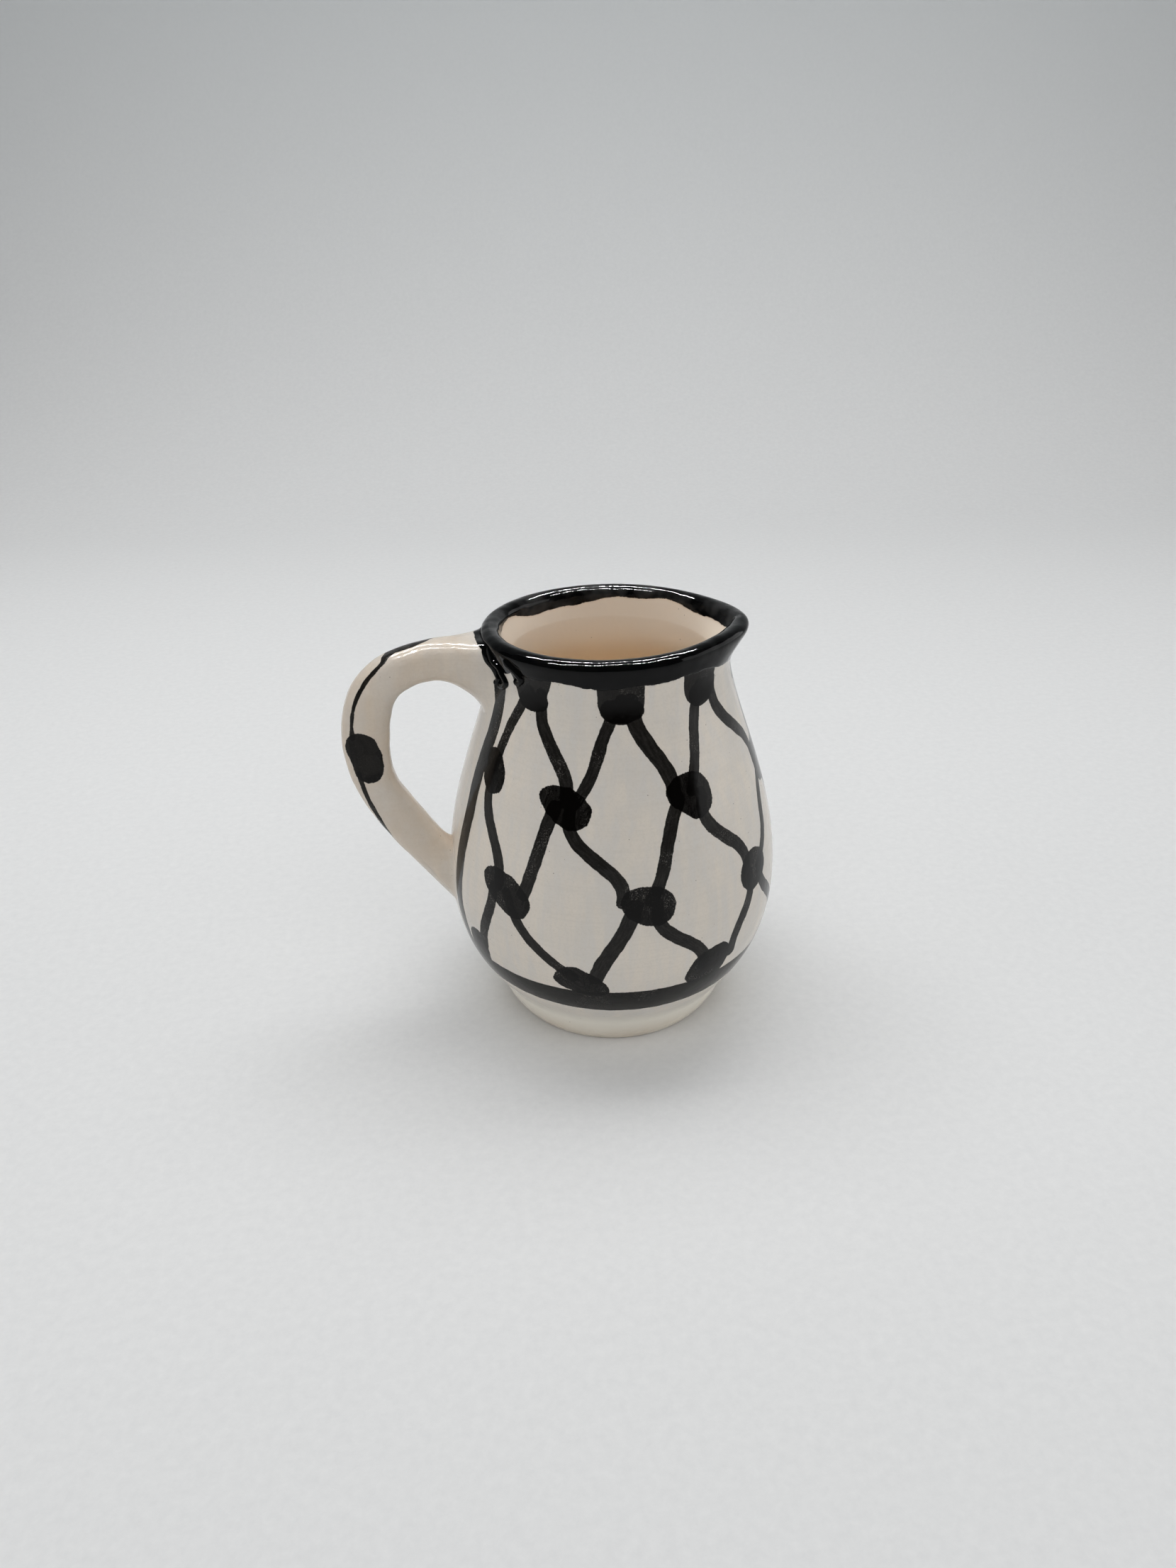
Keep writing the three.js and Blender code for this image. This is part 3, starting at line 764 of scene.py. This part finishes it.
def made_mesh(name, rings, normals, values, start_pole=None, end_pole=None, cuts=()):
    """A piece skinned over closed rings, with a point at either end if asked. No faces cross a cut."""
    rows, columns = rings.shape[:2]
    vertices = [rings.reshape(-1, 3)]
    shading = [normals.reshape(-1, 3)]
    here = np.arange(columns)
    ahead = np.roll(here, -1)
    low = np.array([[row * columns] for row in range(rows - 1) if row not in cuts])
    high = low + columns
    quads = np.stack([low + here, low + ahead, high + ahead, high + here], -1)
    faces = quads.reshape(-1, 4).tolist()
    count = rows * columns
    for pole, row, turned in ((start_pole, 0, True), (end_pole, rows - 1, False)):
        if pole is None:
            continue
        vertices.append(np.array(pole[:1]))
        shading.append(np.array(pole[1:]))
        ring = row * columns + here
        following = row * columns + ahead
        tip = np.full(columns, count)
        count += 1
        fan = np.stack([following, ring, tip] if turned else [ring, following, tip], -1)
        faces += fan.tolist()
    mesh = smooth_mesh(name, (np.vstack(vertices) * MM).tolist(), faces)
    for label, value in values.items():
        attribute = mesh.attributes.new(label, "FLOAT", "POINT")
        flat = value.reshape(-1)
        flat = np.concatenate([flat, np.full(count - len(flat), flat[-1])])
        attribute.data.foreach_set("value", flat.astype(np.float32))
    mesh.normals_split_custom_set_from_vertices(np.vstack(shading).tolist())
    return placed(name, mesh)


def stacked(*parts):
    return {name: np.concatenate([part[name] for part in parts]) for name in parts[0]}


def slices(values, first, last):
    return {name: value[first:last] for name, value in values.items()}


# The foot, the belly and the rim, cut from one stack of rings that goes over the rim

sections, crease, neck, crest, inner_neck = pot_sections()
turned = np.radians(azimuths)[:, None]
radii, heights = sections[..., 0], sections[..., 1]
pot = np.stack([radii * np.cos(turned), radii * np.sin(turned), heights], -1).transpose(1, 0, 2)
pot_normals = grid_normals(pot)
pot_normals[0] = DOWN
pot_normals[-1] = UP
pot_values = stacked(paint_values(pot[:crest]), paint_values(pot[crest:], inside=True))


def stretch(first, last):
    """Some rings of the pot with their normals and paint."""
    return pot[first:last], pot_normals[first:last], slices(pot_values, first, last)


def flat_ring(row, direction):
    """One ring again, with level normals, to close a piece with."""
    ring, normals, values = stretch(row, row + 1)
    return ring, np.broadcast_to(direction, normals.shape), values


def joined(*parts):
    rings, normals, values = zip(*parts)
    return np.concatenate(rings), np.concatenate(normals), stacked(*values)


foot = made_mesh(
    "foot_ring",
    *joined(stretch(1, crease + 1), flat_ring(crease, UP)),
    start_pole=((0.0, 0.0, 0.0), DOWN),
    end_pole=((0.0, 0.0, FOOT_HEIGHT), UP),
    cuts=(crease - 1,),
)
outside_rows = neck + 1 - crease
belly = made_mesh(
    "painted_belly",
    *joined(
        flat_ring(crease, DOWN),
        stretch(crease, neck + 1),
        flat_ring(neck, UP),
        flat_ring(inner_neck, UP),
        stretch(inner_neck, len(pot) - 1),
    ),
    start_pole=((0.0, 0.0, FOOT_HEIGHT), DOWN),
    end_pole=((0.0, 0.0, FLOOR_HEIGHT), UP),
    cuts=(0, outside_rows, outside_rows + 2),
)
rim = made_mesh(
    "glazed_rim",
    *joined(stretch(neck, inner_neck + 1), flat_ring(inner_neck, DOWN), flat_ring(neck, DOWN)),
    cuts=(inner_neck - neck,),
)


# The beads of black glaze

def glaze_run(name, points, side):
    """A rounded bead of black glaze along a few points. A side of -1 mirrors it past the handle."""
    path = smooth_path(np.array(points) * (1.0, side, 1.0), GLAZE_RUN_POINTS)
    ahead = unit(np.gradient(path, axis=0))
    first = unit(np.cross(ahead, path * (1.0, 1.0, 0.0)))[:, None]
    second = np.cross(ahead, first[:, 0])[:, None]
    from_middle = np.abs(np.linspace(-1.0, 1.0, len(path)))
    fullness = np.clip(1.0 - from_middle ** GLAZE_RUN_BLUNTNESS, GLAZE_RUN_TIP, 1.0)
    radius = GLAZE_RUN_RADIUS * np.sqrt(fullness)
    around = np.linspace(0.0, 2 * math.pi, GLAZE_RUN_SIDES, endpoint=False)[:, None]
    outward = first * np.cos(around) + second * np.sin(around)
    rings = path[:, None] + outward * radius[:, None, None]
    paint = {"strand": FAR, "knot": FAR, "band": FAR, "rim": -FAR}
    paint.update(across=0.0, along=0.0, inside=0.0, pooled=0.0)
    values = {label: np.full(rings.shape[:2], value) for label, value in paint.items()}
    return made_mesh(name, rings, outward, values, (path[0], -ahead[0]), (path[-1], ahead[-1]))


runs = [
    glaze_run(f"{name}_{label}", points, side)
    for name, points in GLAZE_RUNS.items()
    for label, side in (("near", 1.0), ("far", -1.0))
]


# The upper joint, the handle and the lower joint, cut from one run of rings

def handle_pieces():
    handle_end = HANDLE_LENGTH - LOWER_JOINT_LENGTH
    upper, upper_feet = joint_rings(UPPER_JOINT_LENGTH, -WALL, UPPER_FILLET, UPPER_FLANK_FILLET)
    lower, lower_feet = joint_rings(handle_end, HANDLE_LENGTH + WALL, LOWER_FILLET, LOWER_FLANK_FILLET)
    steps = round((handle_end - UPPER_JOINT_LENGTH) / HANDLE_STEP)
    distances = np.linspace(UPPER_JOINT_LENGTH, handle_end, steps)[1:-1]
    middle = handle_skin(distances[:, None], section_angles[None])
    # The rings run backwards round the handle, so that its faces look outwards
    rings = np.concatenate([upper[::-1], middle, lower])[:, ::-1]
    normals = grid_normals(rings)
    normals[0] = upper_feet[::-1]
    normals[-1] = lower_feet[::-1]
    flat = rings.reshape(-1, 3)
    azimuth = azimuth_of(flat)
    height = flat[:, 2]
    wall_gap = np.hypot(flat[:, 0], flat[:, 1]) - wall_radius(azimuth, height)
    rim_gap = np.maximum(black_edge(azimuth, *OUTSIDE_BLACK) - height, wall_gap - JOINT_BLACK_REACH)
    reach = np.interp(height, WARMTH_HEIGHTS, WARMTH_REACHES)
    warmth = HANDLE_WARMTH * np.clip(wall_gap / reach, 0.0, 1.0)
    values = paint_values(rings, rim_gap=rim_gap, warmth=warmth)
    lower_start = len(rings) - JOINT_STEPS
    return [
        made_mesh(name, rings[first:last], normals[first:last], slices(values, first, last))
        for name, first, last in (
            ("upper_joint", 0, JOINT_STEPS),
            ("pulled_handle", JOINT_STEPS - 1, lower_start + 1),
            ("lower_joint", lower_start, len(rings)),
        )
    ]


upper_joint, handle, lower_joint = handle_pieces()

# Colours of clay, paint, paper and room
COLOURS = {
    "pale_clay": (0.716, 0.676, 0.622),
    "cream_clay": (0.78, 0.716, 0.634),
    "cool_streaks": (0.704, 0.676, 0.638),
    "warm_streaks": (0.806, 0.732, 0.634),
    "throwing_lines": (0.65, 0.605, 0.54),
    "grain": (0.64, 0.59, 0.52),
    # Painted light: the foot's paler clay stands for light bounced up off the paper
    "foot_painted_light": (0.93, 0.885, 0.785),
    # Painted light: the inside is a brighter copy of the clay, standing for light bounced round inside;
    # low down it is warmer, partly pooled glaze and partly a painted warm glow
    "upper_inside_lit": (0.92, 0.81, 0.685),
    "lower_inside_lit_and_pooled": (0.99, 0.8, 0.56),
    # Pooled glaze with a painted warm glow in the crotch, painted shade low on the foot, and the
    # handle's warmer tone
    "pooled_glaze_and_warm_shade": (0.61, 0.455, 0.305),
    "pinhole": (0.2, 0.16, 0.125),
    "ink": (0.002, 0.0017, 0.0015),
    "black": (0.002, 0.0022, 0.0024),
    "lighter_black": (0.0034, 0.0035, 0.0036),
    # Thinner black inside the rim, lightened partly by thin glaze and partly by a painted sheen that
    # stands for reflection
    "thin_black_and_sheen": (0.031, 0.031, 0.031),
    "paper": (0.75, 0.757, 0.761),
    "paper_fibres": (0.858, 0.863, 0.861),
    # Painted shade: the paper higher up the sweep
    "paper_shaded_above": (0.535, 0.56, 0.57),
    "room_front": (0.145, 0.145, 0.145),
    "room_back": (0.145, 0.148, 0.151),
}

# Patches of noise: scale per millimetre, detail and roughness, the noise that counts as the least and
# the most of it, and their shares where these aren't 0 and 1
PATCHES = {
    "clouds": (0.05, 3.0, 0.5, 0.35, 0.65),
    "cool_streaks": (0.45, 3.0, 0.5, 0.40, 0.66, 0.0, 0.60),
    "warm_streaks": (0.26, 3.0, 0.5, 0.45, 0.70, 0.0, 0.60),
    "throwing_lines": (1.5, 3.0, 0.6, 0.40, 0.70, 0.0, 0.22),
    "grain": (1.7, 3.0, 0.65, 0.42, 0.72, 0.0, 0.30),
    "mottle": (0.13, 4.0, 0.6, 0.30, 0.70, 0.38, 0.72),
    "hairs": (1.0, 2.0, 0.5, 0.35, 0.75, 0.0, 0.022),
    "specks": (3.1, 2.0, 0.6, 0.52, 0.72),
    "dry": (0.14, 1.0, 0.5, 0.44, 0.68),
    "lighter_black": (0.25, 2.0, 0.5, 0.3, 0.7),
    "thin_black_and_sheen": (0.17, 2.0, 0.5, 0.38, 0.66),
}

# How noise is drawn out upright and level, and how fine it is across and along a stroke
UPRIGHT_STRETCH = 0.12
LEVEL_STRETCH = 0.05
HAIRS_ACROSS = 2.6
HAIRS_ALONG = 0.35

# Heights over which the clay is painted paler at the foot and the inside is painted warmer downwards,
# and the pinholes
FOOT_PAINTED_LIGHT = (15.0, 7.0, 0.0, 0.92)
# Between these heights the inside's painted light turns from the upper colour to the warmer lower one
INSIDE_HEIGHTS = (95.0, 74.0)
PINHOLE_SCALE = 0.34
PINHOLES = (0.026, 0.056, 0.72, 0.0)

# Brush edges: the gaps over which paint sets in, and two noises that move them, as scale and size
BRUSH_EDGE = (0.06, -0.10)
WANDER = (0.30, 1.1)
ROUGH_EDGE = (2.4, 0.42)

# Each paint's share of the moving edge, its cover and how much a thin brush takes off it
BRUSHED = {"strand": (0.55, 0.987, 0.7), "knot": (1.0, 0.998, 0.7), "band": (0.5, 0.990, 0.4)}
RIM_WOBBLE = 0.8
SPECKS_BY_DRYNESS = (0.0, 1.0, 0.25, 1.0)
FLECKS_BY_DRYNESS = (0.3, 1.0, 0.06, 0.20)

# Relief of the glaze: noises as scale, detail and roughness, their heights and the step to the black
RIPPLE = (0.22, 2.0, 0.5)
RIPPLE_HEIGHT = 0.20
LUMPS = (0.16, 1.0, 0.5)
LUMP_HEIGHT = 0.9
SCRAPES = (0.33, 3.0, 0.55)
SCRAPE_HEIGHT = 1.1
BLACK_STEP = (0.45, -0.55, 0.0, 0.16)
BUMP_STRENGTH = 0.5

GLAZE_ROUGHNESS = 0.15
BLACK_SMOOTHER_BY = 0.10
GLAZE_IOR = 1.5
GLAZE_SPECULAR = 0.16


# Glaze and paint

def colour(name):
    return (*COLOURS[name], 1.0)


class Graph:
    """Short names for the shader nodes of a material or the room."""

    def __init__(self, owner):
        owner.use_nodes = True
        self.tree = owner.node_tree
        self.tree.nodes.clear()

    def node(self, kind, inputs, **settings):
        """The outputs of a new node. Its inputs, listed or named, are set to values or linked."""
        made = self.tree.nodes.new(kind)
        for name, value in settings.items():
            setattr(made, name, value)
        named = inputs if isinstance(inputs, dict) else dict(enumerate(inputs))
        for name, value in named.items():
            if isinstance(value, bpy.types.NodeSocket):
                self.tree.links.new(value, made.inputs[name])
            else:
                made.inputs[name].default_value = value
        return made.outputs

    def finish(self, owner, kind, inputs):
        shader = self.node(f"ShaderNode{kind}", inputs)[0]
        self.node(f"ShaderNodeOutput{owner}", {"Surface": shader})

    def attribute(self, name):
        return self.node("ShaderNodeAttribute", (), attribute_name=name)["Fac"]

    def coordinates(self, kind):
        return self.node("ShaderNodeTexCoord", ())[kind]

    def split(self, vector):
        return self.node("ShaderNodeSeparateXYZ", [vector])

    def combine(self, *parts):
        return self.node("ShaderNodeCombineXYZ", parts)[0]

    def math(self, operation, *values):
        return self.node("ShaderNodeMath", values, operation=operation)[0]

    def times(self, first, second):
        return self.math("MULTIPLY", first, second)

    def plus(self, first, second):
        return self.math("ADD", first, second)

    def ranged(self, value, low, high, to_low=0.0, to_high=1.0, kind="SMOOTHSTEP"):
        inputs = (value, low, high, to_low, to_high)
        return self.node("ShaderNodeMapRange", inputs, interpolation_type=kind)[0]

    def noise(self, place, scale, detail=2.0, roughness=0.5):
        inputs = {"Vector": place, "Scale": scale, "Detail": detail, "Roughness": roughness}
        return self.node("ShaderNodeTexNoise", inputs)["Fac"]

    def patches(self, place, name):
        scale, detail, roughness, *spread = PATCHES[name]
        return self.ranged(self.noise(place, scale, detail, roughness), *spread)

    def swing(self, place, scale, size):
        return self.times(self.plus(self.noise(place, scale), -0.5), size)

    def mix(self, share, first, second):
        inputs = {"Factor": share, 6: first, 7: second}
        return self.node("ShaderNodeMix", inputs, data_type="RGBA")[2]


def clay_colour(g, place):
    """Cream clay, cloudy and streaked. Painted light makes it paler at the foot and brighter inside; it
    is warmer low inside and where glaze pools, partly a painted warm glow, with painted shade low on
    the foot.
    """
    aside, away, height = g.split(place)
    upright = g.combine(aside, away, g.times(height, UPRIGHT_STRETCH))
    level = g.combine(g.times(aside, LEVEL_STRETCH), g.times(away, LEVEL_STRETCH), height)
    clay = g.mix(g.patches(place, "clouds"), colour("pale_clay"), colour("cream_clay"))
    layers = {"cool_streaks": upright, "warm_streaks": upright, "throwing_lines": level, "grain": place}
    for name, where in layers.items():
        clay = g.mix(g.patches(where, name), clay, colour(name))
    # Painted light: the clay turns paler towards the foot, standing for light bounced up off the paper
    clay = g.mix(g.ranged(height, *FOOT_PAINTED_LIGHT), clay, colour("foot_painted_light"))
    # Painted light inside: brighter than the clay outside, and warmer low down, partly pooled glaze and
    # partly painted glow
    inside = g.mix(g.ranged(height, *INSIDE_HEIGHTS), colour("upper_inside_lit"), colour("lower_inside_lit_and_pooled"))
    clay = g.mix(g.attribute("inside"), clay, inside)
    # Pooled glaze with a painted warm glow in the crotch, painted shade low on the foot, and the
    # handle's warmer tone
    pooled = g.times(g.attribute("pooled"), g.patches(place, "mottle"))
    clay = g.mix(pooled, clay, colour("pooled_glaze_and_warm_shade"))
    specks = g.node("ShaderNodeTexVoronoi", {"Vector": place, "Scale": PINHOLE_SCALE})["Distance"]
    return g.mix(g.ranged(specks, *PINHOLES), clay, colour("pinhole"))


def brush_thinness(g, place):
    """Fine hairs along each strand, and dry specks where the brush ran thin."""
    across = g.times(g.attribute("across"), HAIRS_ACROSS)
    along = g.times(g.attribute("along"), HAIRS_ALONG)
    hairs = g.patches(g.combine(across, along, 0.0), "hairs")
    dry = g.patches(place, "dry")
    speckle = g.times(g.patches(place, "specks"), g.ranged(dry, *SPECKS_BY_DRYNESS))
    return g.plus(hairs, g.times(speckle, g.ranged(dry, *FLECKS_BY_DRYNESS)))


def rim_black(g, place):
    """The rim's black, a little uneven, and in patches inside thinner, with a painted sheen."""
    black = g.mix(g.patches(place, "lighter_black"), colour("black"), colour("lighter_black"))
    # Patches inside: thinner glaze with a painted sheen
    thin = g.times(g.attribute("inside"), g.patches(place, "thin_black_and_sheen"))
    return g.mix(thin, black, colour("thin_black_and_sheen"))


def glaze_relief(g, place, rim_cover):
    """A faint ripple, the step up onto the thick black, its lumps, and scrapes where glaze pools."""
    ripple = g.times(g.noise(place, *RIPPLE), RIPPLE_HEIGHT)
    step = g.ranged(g.attribute("rim"), *BLACK_STEP)
    lumps = g.times(g.noise(place, *LUMPS), g.times(rim_cover, LUMP_HEIGHT))
    scrapes = g.times(g.noise(place, *SCRAPES), g.times(g.attribute("pooled"), SCRAPE_HEIGHT))
    height = g.plus(g.plus(ripple, step), g.plus(lumps, scrapes))
    return g.node("ShaderNodeBump", {"Strength": BUMP_STRENGTH, "Distance": MM, "Height": height})[0]


def painted_glaze():
    """Clear glaze over cream clay, with the brushed net under it and thick black on the rim."""
    material = bpy.data.materials.new("painted_glaze")
    g = Graph(material)
    scaled = {0: g.coordinates("Object"), "Scale": 1.0 / MM}
    place = g.node("ShaderNodeVectorMath", scaled, operation="SCALE")[0]
    wobble = g.plus(g.swing(place, *WANDER), g.swing(place, *ROUGH_EDGE))

    def covered(name, share):
        gap = g.math("MULTIPLY_ADD", wobble, share, g.attribute(name))
        return g.ranged(gap, *BRUSH_EDGE)

    painted = clay_colour(g, place)
    thin = brush_thinness(g, place)
    for name, (share, cover, thinning) in BRUSHED.items():
        left = g.math("MULTIPLY_ADD", thin, -thinning, cover)
        painted = g.mix(g.times(covered(name, share), left), painted, colour("ink"))
    rim_cover = covered("rim", RIM_WOBBLE)
    painted = g.mix(rim_cover, painted, rim_black(g, place))

    shader = {
        "Base Color": painted,
        "Roughness": g.math("MULTIPLY_ADD", rim_cover, -BLACK_SMOOTHER_BY, GLAZE_ROUGHNESS),
        "Normal": glaze_relief(g, place, rim_cover),
        "IOR": GLAZE_IOR,
        "Specular IOR Level": GLAZE_SPECULAR,
    }
    g.finish("Material", "BsdfPrincipled", shader)
    return material


glaze = painted_glaze()
for piece, slot, nodes in (
    (foot, "cream_glaze", ["foot"]),
    (belly, "cream_glaze", ["body"]),
    (rim, "black_glaze", ["rim"]),
    (handle, "cream_glaze", ["handle"]),
    (upper_joint, "cream_glaze", ["upper_handle_slip"]),
    (lower_joint, "cream_glaze", ["lower_handle_slip"]),
    *((run, "black_glaze", []) for run in runs),
):
    piece.data.materials.append(glaze)
    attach(piece, "root")
    if nodes:
        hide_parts(*nodes)

# The camera at the photograph's place, in the CAD frame
IMAGE_HEIGHT = 2212
FOCAL_PIXELS = 1726
SENSOR_MM = 36.0
NEAR_CLIP = 0.01
CAMERA_PLACE = Vector((-46.45, -263.41, 199.29)) * MM
CAMERA_RIGHT = Vector((0.9868, -0.1611, -0.0159)).normalized()
CAMERA_AHEAD = Vector((0.1352, 0.8742, -0.4664)).normalized()

camera_up = CAMERA_RIGHT.cross(CAMERA_AHEAD).normalized()
camera_right = CAMERA_AHEAD.cross(camera_up).normalized()
lens = bpy.data.cameras.new("camera")
lens.sensor_width = SENSOR_MM
lens.lens = SENSOR_MM * FOCAL_PIXELS / IMAGE_HEIGHT
lens.clip_start = NEAR_CLIP
camera = placed("camera", lens)
camera_turn = Matrix((camera_right, camera_up, -CAMERA_AHEAD)).transposed()
camera.matrix_world = Matrix.Translation(CAMERA_PLACE) @ camera_turn.to_4x4()
bpy.context.scene.camera = camera

# The paper sweep that the jug stands on, square to the camera, in metres
SWEEP_HALF_WIDTH = 2.0
SWEEP_FRONT = -2.0
SWEEP_TURN = 0.42
SWEEP_RADIUS = 0.30
SWEEP_TOP = 1.6
SWEEP_STEPS = 24
PAPER_GRAIN = (420.0, 3.0, 0.7)
PAPER_SHADE_HEIGHTS = (0.0, 0.40)
PAPER_ROUGHNESS = 0.9
PAPER_SPECULAR = 0.1


def paper_material():
    """Pale grained paper, with painted shade that darkens it with its height."""
    material = bpy.data.materials.new("paper")
    g = Graph(material)
    place = g.coordinates("Object")
    grained = g.mix(g.noise(place, *PAPER_GRAIN), colour("paper"), colour("paper_fibres"))
    # Painted shade: the paper darkens with its height
    above = g.ranged(g.split(place)["Z"], *PAPER_SHADE_HEIGHTS, kind="LINEAR")
    shader = {
        "Base Color": g.mix(above, grained, colour("paper_shaded_above")),
        "Roughness": PAPER_ROUGHNESS,
        "Specular IOR Level": PAPER_SPECULAR,
    }
    g.finish("Material", "BsdfPrincipled", shader)
    return material


def paper_sweep():
    """Flat paper that turns up behind the jug."""
    turn = arc((SWEEP_TURN, SWEEP_RADIUS), SWEEP_RADIUS, -90.0, 0.0, SWEEP_STEPS)
    profile = np.vstack([(SWEEP_FRONT, 0.0), turn, (SWEEP_TURN + SWEEP_RADIUS, SWEEP_TOP)])
    ahead = unit(np.array([CAMERA_AHEAD.x, CAMERA_AHEAD.y, 0.0]))
    aside = np.cross(ahead, UP)
    corners = [
        tuple(ahead * far + aside * side + np.array(UP) * high)
        for far, high in profile
        for side in (-SWEEP_HALF_WIDTH, SWEEP_HALF_WIDTH)
    ]
    faces = [(i, i + 1, i + 3, i + 2) for i in range(0, len(corners) - 2, 2)]
    mesh = smooth_mesh("paper_sweep", corners, faces)
    mesh.materials.append(paper_material())
    return placed("paper_sweep", mesh)


paper_sweep()

# Soft boxes that light the jug without showing in its gloss: place, target, width, depth and power
SOFT_BOXES = {
    "top_box": ((0, 0.19, 0.66), (0, 0.19, 0), 0.8, 0.3, 2.55),
    "middle_box": ((0, 0, 0.7), (0, 0, 0), 0.8, 0.3, 0.38),
    "front_box": ((0, -0.45, 0.6), (0, 0, 0.05), 0.9, 0.35, 1.33),
    "room_box": ((0, -0.8, 0.34), (0, 0, 0.05), 0.9, 0.35, 0.43),
    "left_box": ((-0.65, -0.05, 0.28), (0, 0, 0.04), 0.5, 0.3, 0.46),
    "left_low_box": ((-0.75, -0.2, 0.16), (0, 0, 0.02), 0.6, 0.26, 0.24),
    "right_box": ((0.65, -0.05, 0.28), (0, 0, 0.04), 0.5, 0.3, 0.27),
    "right_low_box": ((0.75, -0.2, 0.16), (0, 0, 0.02), 0.6, 0.26, 0.57),
    "paper_box": ((-0.34, 0.36, 0.62), (-0.34, 0.36, 0), 0.5, 0.2, 0.05),
}
PAPER_BOX_SPREAD = 64.0

# Rows of small lamps and a side panel that only show in the gloss, each row as its place ahead and up
LAMP_ROWS = {"back": (0.28, 0.605), "top": (-0.065, 0.60)}
LAMPS_IN_ROW = 26
LAMP_SPACING = 0.026
LAMP_TARGET = (0.0, 0.05)
LAMP = (0.010, 0.012, 0.45)
SIDE_PANEL = ((0.86, -0.05, 0.24), (0.0, 0.0, 0.10), 1.0, 0.5, 2.0)

ROOM_FRONT_TO_BACK = (-0.75, 0.15)


def area_light(name, place, target, width, depth, power):
    lamp = bpy.data.lights.new(name, "AREA")
    lamp.shape = "RECTANGLE"
    lamp.size = width
    lamp.size_y = depth
    lamp.energy = power
    made = placed(name, lamp)
    made.location = place
    made.rotation_mode = "QUATERNION"
    made.rotation_quaternion = (Vector(target) - Vector(place)).to_track_quat("-Z", "Y")
    return made


def gloss_light(*settings):
    area_light(*settings).visible_diffuse = False


for name, settings in SOFT_BOXES.items():
    box = area_light(name, *settings)
    box.visible_glossy = False
    if name == "paper_box":
        box.data.spread = math.radians(PAPER_BOX_SPREAD)

for row, lamp_place in LAMP_ROWS.items():
    for i in range(LAMPS_IN_ROW):
        beside = (i - (LAMPS_IN_ROW - 1) / 2) * LAMP_SPACING
        gloss_light(f"{row}_lamp_{i}", (beside, *lamp_place), (beside, *LAMP_TARGET), *LAMP)
gloss_light("side_panel", *SIDE_PANEL)


def dim_room():
    """A dim grey room that doesn't show in the gloss."""
    world = bpy.data.worlds.new("room")
    bpy.context.scene.world = world
    world.cycles_visibility.glossy = False
    g = Graph(world)
    backness = g.ranged(g.split(g.coordinates("Generated"))["Y"], *ROOM_FRONT_TO_BACK)
    sky = g.mix(backness, colour("room_front"), colour("room_back"))
    g.finish("World", "Background", {"Color": sky})


dim_room()
bpy.context.scene.view_settings.view_transform = "Standard"
